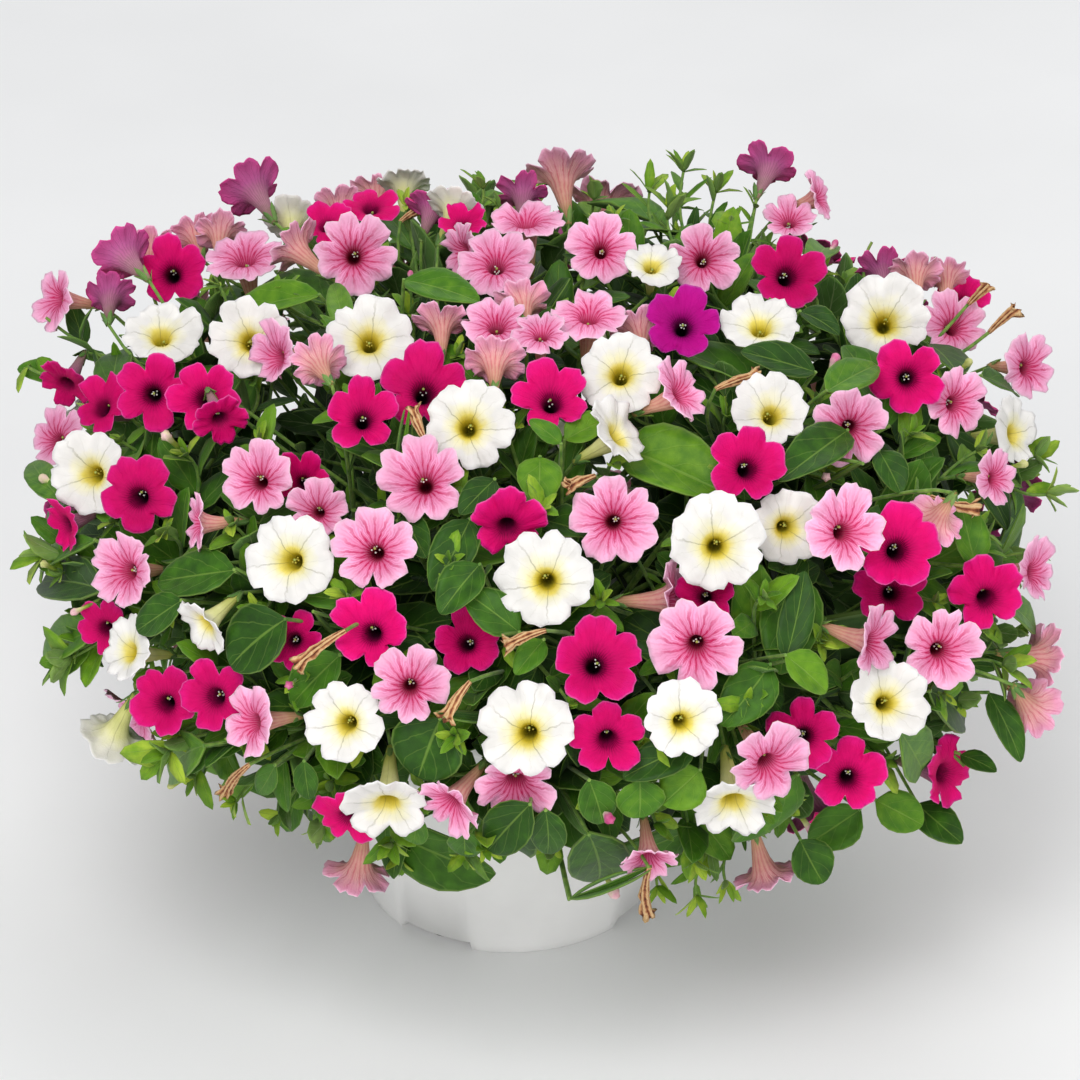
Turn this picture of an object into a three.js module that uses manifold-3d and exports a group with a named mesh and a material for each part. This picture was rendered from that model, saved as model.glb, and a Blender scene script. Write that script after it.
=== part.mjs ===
// Potted petunia: a mound of white, pink and magenta trumpet flowers in a white plastic pot.
// Millimetres, +Z up. The origin is the middle of the pot's base, and the front faces -Y.

import * as THREE from "three";
import { mergeVertices } from "three/addons/utils/BufferGeometryUtils.js";
import Module from "manifold-3d";

const wasm = await Module();
wasm.setup();

// Pot: a tapered container with a thicker rim and four drain notches at its foot.
const potHeight = 150;
const potBaseRadius = 79;
const potWallLean = 0.14;
const potWall = 2.5;
const potFloor = 3;
const potSides = 24;
const rimRadius = 102;
const rimHeight = 12;
const rimRounding = 1.5;
const notchTurns = [-31, 60, 150, 240];
const notchDegrees = 28.4;
const notchHeight = 6;
const notchInnerRadius = 71;

// Soil: the potting mix fills the pot to just under the rim, with a plain hole for each stem.
const soilTop = 138;
const soilRounding = 5;
const soilShoulder = 2.5;
const seatGap = 0.3;
const holeDepth = 11;
const holesRadius = 86;

// Mound: the flowers stand on an egg-shaped skin, a little to the right of the pot's axis.
const moundCentre = new THREE.Vector3(16.5, 0, 223.5);
const moundRadii = new THREE.Vector3(265, 260, 162);
const moundCore = new THREE.Vector3(8, 0, 178);
const stemReach = 0.8;
const lowestFlower = 98;
const lowestLeaf = 84;

// Front view: the places below are measured across a plane at viewTarget, seen by an eye at this
// height angle and distance.
const viewElevation = THREE.MathUtils.degToRad(29.5);
const viewDistance = 2400;
const viewTarget = new THREE.Vector3(16.5, 0, 211);

// Flower: five lobes round a throat, and a tube that narrows to its stalk. Shares of its radius.
const smallestFlower = 32;
const largestFlower = 50;
const hiddenFlowerWidth = 43;
const lobes = 5;
const lobeWave = 1.4;
const notchShare = 0.83;
const throatShare = 0.52;
const neckRadiusShare = 0.27;
const neckDepthShare = 0.72;
const tubeDepthShare = 1.65;
const calyxRadius = 1.7;

// Stems and stalks are three-sided. Their radii reach to the corners.
const stemSides = 3;
const stemRadius = 2.4;
const stemTipRadius = 2;
const stemSteps = 3;
const stalkRadius = 1.15;
const stalkRootRadius = 0.9;

// Leaf: an oval blade that arches and is thickest along its rib. Shares of its length and width.
const leafLength = 54;
const leafWidth = 34;
const leafRib = 1.3;
const leafRibTop = 0.32;
const leafWidest = 0.34;
const leafShoulder = 0.74;
const leafShoulderWidth = 0.8;
const leafDroop = 0.12;
const leafCupping = 0.12;
const leafSetBack = 12;
const leafTipSetBack = 4;

// Withered flower: a thin roll that opens a little at its end.
const rollRadius = 3.2;
const rollDepth = 1.6;
const rollTipRise = 6;
const rollSides = 6;

// Shoots: how many there are, what the unseen sides carry, and the room that a new piece needs.
const groupRounds = 8;
const spraysOf = { white: 10, pink: 15, magenta: 12 };
const leafyStems = 21;
const unseenFlowers = 150;
const unseenLeaves = 98;
const unseenShares = { white: 0.3, pink: 0.42, magenta: 0.28 };
const room = 0.5;
const thinnestFace = 0.01;
const randomStart = 22;

// Heads: the depths behind the skin that are tried for each, and the share it keeps if none is clear.
const headDepths = [0, -5, 7, -10, 14, 21, -15, 28, 35, 42, 50];
const headSizes = 3;
const headShrink = 0.9;

// Unseen flowers lie this far behind the skin of the front view. They look outward and a little up.
const hiddenBehind = 100;
const flowerLift = 0.25;
const flowerTurn = 0.45;
const flowerWidthSpread = 4;

// Unseen leaves lie under the flowers, sag, and look outward and up.
const nearestLeafDepth = 7.2;
const leafDepthSpread = 24;
const leafSag = 0.3;
const leafReach = 0.3;
const leafFaceLift = 0.6;
const leafTurn = 0.3;
const leafLengthSpread = 7;
const leafWidthSpread = 5;

// Main stems: where they stand in the soil, how they rise and arch over, and how they sway clear.
const holesInset = 0.6;
const steepestLean = 1.9;
const collarHeight = 4;
const hangBelow = 190;
const hangRange = 90;
const kneeShare = 0.45;
const kneeShareHanging = 0.2;
const kneeRise = 20;
const kneeRiseHanging = 75;
const leastSway = 4;
const swayStep = 0.25;
const stemTries = 400;

// Stalks: where they may leave a stem, what a sharp turn costs in millimetres, and their bends.
const perchShares = [0.1, 0.25, 0.4, 0.55, 0.7, 0.85];
const turnCost = 30;
const costSpread = 8;
const bendShare = 0.3;
const bendSway = 4;
const bendSwayStep = 3;
const mostBends = 26;
const mostLeafBends = 2;
const stemsTried = 8;

// Flowers seen from the front: right, up, width, the way the tube leans right and up (the sine of
// the angle), 1 if it faces the front or -1 if it faces away, and how far it is set back, if at all.
const whiteSeen = [
  [-132, 172, 34, 0, -0.7, -1], [-200, 111, 43, 0, -0.6, 1], [-155, 107, 45, 0.05, -0.15, 1],
  [-240, 36, 45, 0.35, 0, 1], [-134, -10, 48, 0.3, -0.05, 1], [-180, -47, 34, 0.65, 0.6, 1],
  [-220, -57, 36, 0.75, -0.15, 1], [-227, -107, 40, 0.4, 0.75, -1], [-91, 108, 48, 0, -0.3, 1],
  [-72, 191, 32, 0, -0.9, -1], [-45, 178, 34, -0.3, -0.8, -1], [-37, 62, 48, 0, -0.1, 1],
  [2, -19, 50, 0.05, 0, 1], [-104, -96, 42, 0.25, 0, 1], [-7, -100, 50, 0.1, 0, 1],
  [-82, -142, 45, 0.05, 0.75, 1], [117, 116, 42, 0, -0.6, 1], [184, 119, 50, 0.02, -0.15, 1],
  [254, 58, 40, -0.8, -0.1, 1], [122, 70, 42, -0.1, -0.3, 1], [43, 90, 46, 0.03, -0.25, 1],
  [43, 59, 38, -0.7, -0.5, 1], [60, 148, 32, -0.05, -0.6, 1], [94, -1, 51, 0, 0, 1],
  [131, 7, 40, -0.1, 0.1, 1], [185, -85, 43, -0.15, -0.05, 1], [103, -142, 45, -0.1, 0.75, 1],
  [76, -95, 41, -0.12, 0.05, 1],
];
const pinkSeen = [
  [-259, 128, 37, 0.8, -0.1, 1], [-206, 156, 24, 0, -0.7, -1], [-183, 163, 32, 0.2, -0.6, -1],
  [-169, 166, 31, 0, -0.8, -1], [-157, 153, 46, 0.1, -0.75, 1], [-132, 157, 37, 0.7, -0.6, -1],
  [-142, 100, 35, 0.75, 0, 1], [-118, 96, 31, 0.3, -0.5, -1], [-257, 56, 35, 0.45, -0.2, 1],
  [-150, 34, 40, 0.15, -0.05, 1], [-184, 10, 29, 0.95, 0, 1], [-222, -16, 42, 0.55, 0, 1],
  [-155, -96, 40, 0.75, 0.05, 1], [-118, 17, 24, 0.1, 0, 1, 20], [-98, 153, 48, -0.05, -0.05, 1],
  [-106, 179, 32, 0, -0.8, -1], [-87, 187, 29, 0, -0.8, -1], [-43, 154, 29, 0.8, 0.1, 1],
  [-23, 149, 43, 0, -0.5, 1], [-7, 172, 43, 0.05, -0.85, 1], [11, 197, 42, 0.12, -0.9, -1],
  [-10, 127, 29, 0.1, -0.6, -1], [-53, 118, 32, 0.05, -0.85, -1], [-23, 116, 38, 0, -0.6, 1],
  [-24, 98, 34, 0, -0.7, -1], [0, 112, 32, 0, -0.7, 1], [26, 122, 42, -0.05, -0.75, 1],
  [-63, 34, 47, 0.05, -0.15, 1], [-89, -4, 46, 0.1, -0.05, 1], [-69, -76, 43, 0, 0.05, 1],
  [-97, -179, 38, 0.15, 0.9, -1], [-49, -142, 38, 0.55, 0.65, 1], [-13, -132, 45, 0, 0.65, 1],
  [150, 184, 26, -0.85, -0.35, 1], [132, 172, 29, 0, -0.6, 1], [87, 149, 40, 0, -0.1, 1],
  [199, 144, 26, 0, -0.8, -1], [214, 142, 32, 0, -0.8, -1], [219, 116, 40, -0.25, -0.3, 1],
  [223, 73, 40, -0.5, 0.05, 1], [261, 93, 40, -0.6, 0, 1], [243, 34, 32, -0.7, 0, 1],
  [164, 60, 43, -0.02, 0.15, 1], [76, 81, 38, -0.75, -0.4, 1], [33, 155, 41, 0, -0.15, 1],
  [53, 112, 24, 0, -0.6, -1], [40, 11, 47, 0.02, 0, 1], [162, 7, 45, -0.3, 0, 1],
  [209, 10, 24, 0.3, 0.5, -1], [265, -15, 38, -0.8, 0, 1], [214, -57, 45, -0.15, 0.05, 1],
  [180, -53, 40, -0.85, 0.2, 1], [123, -119, 45, -0.35, 0.45, 1], [122, -180, 38, -0.3, 0.9, -1],
  [58, -171, 33, -0.1, 0.85, 1], [83, -56, 49, 0.05, 0.15, 1], [74, -31, 41, -0.95, -0.05, 1],
  [270, -61, 38, -0.9, 0.05, -1], [261, -89, 37, -0.4, 0.4, -1],
];
const magentaSeen = [
  [-154, 188, 40, 0.45, -0.65, -1], [-222, 153, 40, 0.5, -0.5, -1], [-195, 144, 42, 0, -0.1, 1],
  [-253, 82, 34, 0.35, 0.65, 1], [-233, 74, 37, 0.5, -0.3, 1], [-206, 78, 43, 0.05, 0, 1],
  [-179, 77, 40, 0.2, -0.1, 1], [-169, 63, 32, -0.3, 0.6, 1], [-227, 132, 21, 0, -0.7, -1],
  [-214, 25, 43, 0.2, 0.05, 1], [-254, 8, 32, 0.8, 0.3, 1], [-232, -46, 26, 0.3, 0.3, 1, 20],
  [-200, -85, 38, 0.25, 0.1, 1], [-174, -83, 40, 0.4, 0.1, 1], [-127, 33, 29, 0.1, 0, 1, 30],
  [-131, -53, 32, 0.1, 0, 1, 20], [-89, 179, 34, 0, -0.7, 1], [-113, 170, 24, 0.2, -0.6, 1],
  [-57, 179, 29, -0.2, -0.8, -1], [-41, 170, 32, 0.1, -0.7, 1], [-10, 186, 32, 0, -0.8, -1],
  [-61, 83, 47, -0.1, -0.25, 1], [-94, 67, 40, -0.05, -0.2, 1], [6, 78, 43, -0.05, -0.35, 1],
  [-17, 8, 40, 0, 0.5, 1], [-91, -47, 42, 0.15, 0.05, 1], [-38, -53, 37, 0.1, -0.1, 1, 25],
  [-103, -149, 38, 0.35, 0.65, 1], [121, 201, 35, -0.25, -0.75, -1], [131, 143, 43, -0.1, -0.2, 1],
  [76, 116, 41, 0, -0.2, 1], [180, 146, 24, 0.1, -0.8, -1], [224, 129, 24, 0, -0.6, 1],
  [195, 87, 42, 0, 0, 1], [110, 41, 42, -0.15, -0.1, 1], [190, -3, 47, -0.1, -0.05, 1],
  [186, -26, 40, 0, 0, 1, 20], [237, -28, 41, -0.15, 0.2, 1], [164, -124, 42, 0, 0.05, 1],
  [140, -103, 40, 0, 0, 1, 30], [217, -123, 42, -0.75, 0.15, 1], [87, -29, 32, 0.1, 0, 1, 25],
  [31, -64, 47, -0.05, -0.15, 1], [36, -105, 41, -0.05, 0.3, 1],
];
// Leaves seen from the front: right and up of the stalk's end, then of the tip, and the width.
const leavesSeen = [
  [-235, -47, -273, -61, 24], [-233, -26, -275, -16, 26], [-236, 0, -275, -11, 13],
  [-254, 21, -275, 48, 16], [-252, 87, -276, 93, 16], [-178, -109, -207, -127, 24],
  [-140, -119, -152, -136, 12], [-125, -117, -123, -139, 12], [-135, -42, -167, -66, 34],
  [-162, -16, -206, -19, 26], [-190, -32, -217, -47, 19], [-117, 130, -172, 122, 20],
  [-241, 103, -250, 127, 12], [-228, 74, -228, 111, 21], [-103, 109, -111, 142, 13],
  [-72, 138, -34, 131, 21], [-53, 103, -32, 85, 13], [13, 53, 35, 66, 16], [11, 51, -5, 65, 11],
  [0, 44, -1, 22, 22], [-37, 11, -57, -24, 22], [-32, -13, -53, -37, 21], [-72, 13, -61, -7, 15],
  [-11, -49, -39, -26, 21], [-24, 32, -42, 16, 16], [-100, 37, -126, 26, 16],
  [-53, -95, -66, -127, 37], [2, -53, -13, -70, 14], [-5, -58, -32, -98, 26],
  [-106, -61, -134, -87, 24], [26, -127, 34, -152, 19], [26, -156, 34, -192, 31],
  [3, -143, 4, -170, 18], [-40, -154, -40, -170, 17], [-64, -146, -68, -163, 14],
  [-5, -140, -30, -167, 24], [146, 89, 109, 103, 20], [152, 79, 181, 98, 20], [138, 121, 159, 111, 14],
  [163, 58, 130, 37, 24], [180, 47, 192, 27, 17], [234, 87, 257, 80, 16], [143, 146, 154, 165, 17],
  [130, -64, 141, -16, 17], [122, -66, 97, -97, 25], [130, -61, 154, -80, 19],
  [207, -80, 236, -98, 26], [238, -81, 257, -116, 17], [244, -32, 271, -47, 15],
  [250, -11, 269, -14, 12], [231, -14, 225, 23, 20], [214, 34, 242, 33, 11],
  [191, -101, 212, -125, 26], [170, -143, 143, -162, 24], [178, -138, 204, -151, 21],
  [200, -140, 223, -158, 20], [223, -114, 241, -121, 11], [138, -159, 151, -182, 22],
  [53, -127, 53, -149, 24], [85, -122, 65, -140, 24], [82, -109, 45, -125, 20],
];
// Withered flowers seen from the front: right and up of the stalk's end, then of the tip.
const witheredSeen = [
  [-103, -48, -132, -64], [-37, -75, -53, -93], [3, -48, -20, -53], [-61, 53, -70, 69],
  [-74, 169, -58, 181], [-154, -119, -175, -135], [93, 80, 114, 90], [227, 125, 237, 136],
  [238, 110, 251, 124], [207, 23, 229, 13], [244, -74, 257, -85], [58, -174, 49, -199],
  [29, 34, 12, 29],
];

const up = new THREE.Vector3(0, 0, 1);
const golden = Math.PI * (3 - Math.sqrt(5));
const viewAcross = new THREE.Vector3(1, 0, 0);
const viewUp = new THREE.Vector3(0, Math.sin(viewElevation), Math.cos(viewElevation));
const viewAlong = new THREE.Vector3(0, Math.cos(viewElevation), -Math.sin(viewElevation));
const eye = viewTarget.clone().addScaledVector(viewAlong, -viewDistance);

THREE.MathUtils.seededRandom(randomStart);
const random = () => THREE.MathUtils.seededRandom();
const spread = (size) => (random() - 0.5) * 2 * size;
const randomVector = (size) => new THREE.Vector3(spread(size), spread(size), spread(size));
const mix = (a, b, share) => new THREE.Vector3().lerpVectors(a, b, share);
const along = (start, direction, distance) => start.clone().addScaledVector(direction, distance);
const squareTo = (axis, direction) => along(direction, axis, -direction.dot(axis)).normalize();

// Skins: lists of triangles that close round one solid.

// A ring of points round a centre, counterclockwise as seen from the tip of the axis.
function ring(centre, axis, side, radius, count, start = 0) {
  const across = squareTo(axis, side);
  const over = new THREE.Vector3().crossVectors(axis, across);
  return Array.from({ length: count }, (_, i) => {
    const angle = start + (i * 2 * Math.PI) / count;
    return along(along(centre, across, radius * Math.cos(angle)), over, radius * Math.sin(angle));
  });
}

// The band between two rings, which may have different numbers of points.
function band(front, rear) {
  const triangles = [];
  let i = front.length === 1 ? 1 : 0;
  let j = rear.length === 1 ? 1 : 0;
  while (i < front.length || j < rear.length) {
    const frontNext = i < front.length ? (i + 1) / front.length : 2;
    const rearNext = j < rear.length ? (j + 1) / rear.length : 2;
    const a = front[i % front.length];
    const b = rear[j % rear.length];
    if (frontNext <= rearNext) {
      i += 1;
      triangles.push([a, b, front[i % front.length]]);
    } else {
      j += 1;
      triangles.push([a, b, rear[j % rear.length]]);
    }
  }
  return triangles;
}

// A closed skin over rings from the front one to the rear one. Rings of three are capped.
function loft(rings, frontOpen = false) {
  const triangles = rings.slice(1).flatMap((rear, i) => band(rings[i], rear));
  const front = rings[0];
  const rear = rings[rings.length - 1];
  if (front.length === 3 && !frontOpen) {
    triangles.push([front[0], front[1], front[2]]);
  }
  if (rear.length === 3) {
    triangles.push([rear[0], rear[2], rear[1]]);
  }
  return triangles;
}

// Rings of a stalk that leaves a front point and follows a path to its root in a stem.
function stalkRings(front, path, side, margin, start = 0) {
  let across = side;
  return path.map((point, i) => {
    const before = i === 0 ? front : path[i - 1];
    const after = path[Math.min(i + 1, path.length - 1)];
    const axis = before.clone().sub(after).normalize();
    const radius = i === path.length - 1 ? stalkRootRadius : stalkRadius;
    across = squareTo(axis, across);
    return ring(point, axis, across, radius + margin, stemSides, start);
  });
}

// A flower: its face looks along `face`, and its stalk starts at `anchor`, the end of the tube.
class Flower {
  constructor(colour, centre, face, width, inward) {
    this.colour = colour;
    this.centre = centre;
    this.heading = face.clone().normalize();
    this.radius = THREE.MathUtils.clamp(width, smallestFlower, largestFlower) / 2;
    this.inward = inward;
    this.side = randomVector(1).cross(this.heading).normalize();
    this.waves = Array.from({ length: 2 * lobes }, (_, i) => spread(lobeWave / 2) - (i % 2) * lobeWave);
  }

  get anchor() {
    return along(this.centre, this.heading, -tubeDepthShare * this.radius);
  }

  move(shift) {
    this.centre.add(shift);
  }

  resize(share) {
    this.radius *= share;
  }

  skin(path, margin = 0) {
    const { centre, heading, side, radius } = this;
    const throat = along(centre, heading, margin - throatShare * radius);
    const rim = ring(centre, heading, side, radius + margin, 2 * lobes).map((point, i) => {
      const notched = i % 2 === 1 ? mix(centre, point, notchShare) : point;
      return along(notched, heading, this.waves[i]);
    });
    const neckCentre = along(centre, heading, -neckDepthShare * radius);
    const neck = ring(neckCentre, heading, side, neckRadiusShare * radius + margin, stemSides);
    const calyx = ring(this.anchor, heading, side, calyxRadius + margin, stemSides);
    return loft([[throat], rim, neck, calyx, ...stalkRings(this.anchor, path, side, margin)]);
  }
}

// A leaf: an oval blade from its base, where the stalk joins, to its tip.
class Leaf {
  constructor(base, tip, normal, width, inward) {
    this.anchor = base;
    this.tip = tip;
    this.normal = normal;
    this.width = width;
    this.inward = inward;
  }

  get heading() {
    return this.tip.clone().sub(this.anchor).normalize();
  }

  move(shift) {
    this.anchor.add(shift);
    this.tip.add(shift);
  }

  resize(share) {
    this.tip.lerp(this.anchor, 1 - share);
    this.width *= share;
  }

  skin(path, margin = 0) {
    const length = this.tip.distanceTo(this.anchor);
    const above = squareTo(this.heading, this.normal);
    const across = new THREE.Vector3().crossVectors(above, this.heading);
    const place = (share, sideways, rise) => {
      const onChord = along(along(this.anchor, this.heading, share * length), across, sideways);
      return along(onChord, above, rise - leafDroop * length * share * share);
    };
    const half = this.width / 2 + margin;
    const shoulder = half * leafShoulderWidth;
    const raised = leafCupping * this.width;
    const foot = stalkRadius + margin;
    const footAngle = Math.PI / stemSides;
    const footHalf = foot * Math.sin(footAngle);
    const outline = [
      place(0, -footHalf, foot * Math.cos(footAngle)),
      place(leafWidest, -half, raised),
      place(leafShoulder, -shoulder, raised),
      place(1 + margin / length, 0, 0),
      place(leafShoulder, shoulder, raised),
      place(leafWidest, half, raised),
      place(0, footHalf, foot * Math.cos(footAngle)),
    ];
    const underFoot = place(0, 0, -foot);
    const ribTop = place(0.5, 0, margin + leafRibTop);
    const ribUnder = place(0.5, 0, -margin - leafRib);
    const blade = [
      [ribTop, outline[6], outline[0]],
      [ribUnder, underFoot, outline[6]],
      [ribUnder, outline[0], underFoot],
    ];
    for (let i = 0; i < 6; i++) {
      blade.push([ribTop, outline[i], outline[i + 1]]);
      blade.push([ribUnder, outline[i + 1], outline[i]]);
    }
    const stalk = stalkRings(this.anchor, path, above, margin, footAngle);
    return blade.concat(loft([[outline[0], underFoot, outline[6]], ...stalk], true));
  }
}

// A withered flower: a roll from its base, where the stalk joins, to its open end.
class WitheredFlower {
  constructor(base, tip, inward) {
    this.anchor = base;
    this.tip = tip;
    this.inward = inward;
  }

  get heading() {
    return this.tip.clone().sub(this.anchor).normalize();
  }

  move(shift) {
    this.anchor.add(shift);
    this.tip.add(shift);
  }

  resize(share) {
    this.tip.lerp(this.anchor, 1 - share);
  }

  skin(path, margin = 0) {
    const side = viewAlong.clone().cross(this.heading);
    const mouth = ring(this.tip, this.heading, side, rollRadius + margin, rollSides);
    const cup = along(this.tip, this.heading, margin - rollDepth);
    const calyx = ring(this.anchor, this.heading, side, calyxRadius + margin, stemSides);
    return loft([[cup], mouth, calyx, ...stalkRings(this.anchor, path, side, margin)]);
  }
}

// Solids: closed skins that can be joined, cut and tested against each other.

function solidFromGeometry(geometry) {
  geometry.deleteAttribute("normal");
  geometry.deleteAttribute("uv");
  const merged = mergeVertices(geometry);
  const vertProperties = merged.attributes.position.array;
  const triVerts = Uint32Array.from(merged.index.array);
  return new wasm.Manifold(new wasm.Mesh({ numProp: 3, vertProperties, triVerts }));
}

function solidFromSkin(triangles) {
  return solidFromGeometry(new THREE.BufferGeometry().setFromPoints(triangles.flat()));
}

function geometryFromSolid(solid) {
  const { vertProperties, triVerts } = solid.getMesh();
  const geometry = new THREE.BufferGeometry();
  geometry.setAttribute("position", new THREE.BufferAttribute(vertProperties, 3));
  geometry.setIndex(new THREE.BufferAttribute(triVerts, 1));
  return geometry;
}

function meshFromSolid(solid, name, material) {
  const geometry = geometryFromSolid(solid);
  geometry.computeVertexNormals();
  const mesh = new THREE.Mesh(geometry, material);
  mesh.name = name;
  return mesh;
}

// The smallest height of any triangle of a solid.
function thinnestHeight(solid) {
  const geometry = geometryFromSolid(solid);
  const { position } = geometry.attributes;
  const corner = (i) => new THREE.Vector3().fromBufferAttribute(position, geometry.index.getX(i));
  let thinnest = Infinity;
  for (let i = 0; i < geometry.index.count; i += 3) {
    const triangle = new THREE.Triangle(corner(i), corner(i + 1), corner(i + 2));
    const { a, b, c } = triangle;
    const longest = Math.max(a.distanceTo(b), b.distanceTo(c), c.distanceTo(a));
    thinnest = Math.min(thinnest, (2 * triangle.getArea()) / longest);
  }
  return thinnest;
}

// Everything that is already in its place. A new piece must stand clear of all of it.
const standing = [];

const boxOf = (triangles) => new THREE.Box3().setFromPoints(triangles.flat());

function isClear(triangles, allowed = []) {
  const box = boxOf(triangles);
  const near = standing.filter((piece) => !allowed.includes(piece) && piece.box.intersectsBox(box));
  if (near.length === 0) {
    return true;
  }
  const solid = solidFromSkin(triangles);
  const clear = near.every((piece) => {
    const shared = solid.intersect(piece.solid);
    const empty = shared.isEmpty();
    shared.delete();
    return empty;
  });
  solid.delete();
  return clear;
}

function stand(triangles) {
  const piece = { solid: solidFromSkin(triangles), box: boxOf(triangles) };
  standing.push(piece);
  return piece;
}

function takeAway(piece) {
  standing.splice(standing.indexOf(piece), 1);
}

// Pot and soil.

const wallRadius = (height) => potBaseRadius + potWallLean * height;

function latheUpright(profile) {
  const points = profile.map(([radius, height]) => new THREE.Vector2(radius, height));
  return new THREE.LatheGeometry(points, potSides).rotateX(Math.PI / 2);
}

function potShell() {
  const rimFoot = potHeight - rimHeight;
  const shell = latheUpright([
    [0, 0],
    [potBaseRadius, 0],
    [wallRadius(rimFoot), rimFoot],
    [rimRadius, rimFoot + rimRounding],
    [rimRadius, potHeight - rimRounding],
    [rimRadius - rimRounding, potHeight],
    [wallRadius(potHeight) - potWall, potHeight],
    [wallRadius(potFloor) - potWall, potFloor],
    [0, potFloor],
  ]);
  return notchTurns.reduce((pot, turn) => pot.subtract(notchCutter(turn)), solidFromGeometry(shell));
}

// The part of a ring that a drain notch takes out of the pot's foot, at a turn from the front.
function notchCutter(turn) {
  const middle = THREE.MathUtils.degToRad(turn - 90);
  const half = THREE.MathUtils.degToRad(notchDegrees / 2);
  const outline = new THREE.Shape();
  outline.absarc(0, 0, rimRadius, middle - half, middle + half, false);
  outline.absarc(0, 0, notchInnerRadius, middle + half, middle - half, true);
  const depth = 2 * notchHeight;
  const cutter = new THREE.ExtrudeGeometry(outline, { depth, bevelEnabled: false, curveSegments: 3 });
  return solidFromGeometry(cutter.translate(0, 0, notchHeight - depth));
}

function soilFilling(holes) {
  const innerRadius = (height) => wallRadius(height) - potWall - seatGap;
  const foot = potFloor + seatGap;
  const shoulder = soilTop - soilShoulder;
  const filling = latheUpright([
    [0, foot],
    [innerRadius(foot), foot],
    [innerRadius(shoulder), shoulder],
    [innerRadius(shoulder) - soilRounding, soilTop],
    [0, soilTop],
  ]);
  return holes.reduce((soil, hole) => soil.subtract(solidFromSkin(hole)), solidFromGeometry(filling));
}

// Places on the mound's skin.

// The point of the skin that is seen at a place of the front view, or the nearest to it.
function seenPoint(right, above, setBack = 0) {
  const ray = along(along(viewTarget, viewAcross, right), viewUp, above).sub(eye).normalize();
  const start = eye.clone().sub(moundCentre).divide(moundRadii);
  const step = ray.clone().divide(moundRadii);
  const a = step.dot(step);
  const b = start.dot(step);
  const c = start.dot(start) - 1;
  const reach = (-b - Math.sqrt(Math.max(b * b - a * c, 0))) / a;
  return along(eye, ray, reach + setBack);
}

// How far a point lies behind the skin that the front view shows there.
function depthOf(point) {
  const sight = point.clone().sub(eye);
  const reach = viewDistance / sight.dot(viewAlong);
  const place = along(eye, sight, reach).sub(viewTarget);
  return point.distanceTo(seenPoint(place.dot(viewAcross), place.dot(viewUp)));
}

const outwardAt = (point) => point.clone().sub(moundCentre).divide(moundRadii).divide(moundRadii).normalize();

const sightTo = (point) => point.clone().sub(eye).normalize();

// Points spread evenly over the whole skin.
function skinPoints(count) {
  return Array.from({ length: count }, (_, i) => {
    const height = 1 - (2 * (i + 0.5)) / count;
    const radius = Math.sqrt(1 - height * height);
    const turn = i * golden;
    const direction = new THREE.Vector3(radius * Math.cos(turn), radius * Math.sin(turn), height);
    return direction.multiply(moundRadii).add(moundCentre);
  });
}

function seenFlower(colour, [right, above, width, leanRight, leanUp, facing, setBack]) {
  const centre = seenPoint(right, above, setBack);
  const toward = Math.sqrt(Math.max(1 - leanRight * leanRight - leanUp * leanUp, 0));
  const sideways = along(viewAcross.clone().multiplyScalar(-leanRight), viewUp, -leanUp);
  const face = along(sideways, viewAlong, -facing * toward);
  return new Flower(colour, centre, face, width, sightTo(centre));
}

function unseenFlower(centre) {
  const outward = outwardAt(centre);
  const draw = random();
  const pinkEnd = unseenShares.white + unseenShares.pink;
  const colour = draw < unseenShares.white ? "white" : draw < pinkEnd ? "pink" : "magenta";
  const face = along(outward, up, flowerLift).add(randomVector(flowerTurn));
  return new Flower(colour, centre, face, hiddenFlowerWidth + spread(flowerWidthSpread), outward.negate());
}

function seenLeaf([right, above, tipRight, tipAbove, width]) {
  const base = seenPoint(right, above, leafSetBack);
  const tip = seenPoint(tipRight, tipAbove, leafTipSetBack);
  const sight = sightTo(base);
  const normal = outwardAt(tip).sub(sight).add(up);
  return new Leaf(base, tip, normal, width, sight);
}

function unseenLeaf(point) {
  const outward = outwardAt(point);
  const level = squareTo(outward, along(randomVector(1), up, -leafSag));
  const direction = along(level, outward, leafReach).normalize();
  const middle = along(point, outward, -nearestLeafDepth - leafDepthSpread * random());
  const half = (leafLength + spread(leafLengthSpread)) / 2;
  const normal = along(outward, up, leafFaceLift).add(randomVector(leafTurn));
  const width = leafWidth + spread(leafWidthSpread);
  const base = along(middle, direction, -half);
  return new Leaf(base, along(middle, direction, half), normal, width, outward.negate());
}

function seenWithered([right, above, tipRight, tipAbove]) {
  const base = seenPoint(right, above);
  return new WitheredFlower(base, seenPoint(tipRight, tipAbove, -rollTipRise), sightTo(base));
}

// A head, without its stalk, goes to the first depth where it stands clear, or it is made smaller.
function placeHead(piece) {
  for (let size = 0; size < headSizes; size++) {
    let depth = 0;
    for (const next of headDepths) {
      piece.move(piece.inward.clone().multiplyScalar(next - depth));
      depth = next;
      if (isClear(piece.skin([], room))) {
        piece.head = stand(piece.skin([]));
        return true;
      }
    }
    piece.move(piece.inward.clone().multiplyScalar(-depth));
    piece.resize(headShrink);
  }
  return false;
}

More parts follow.
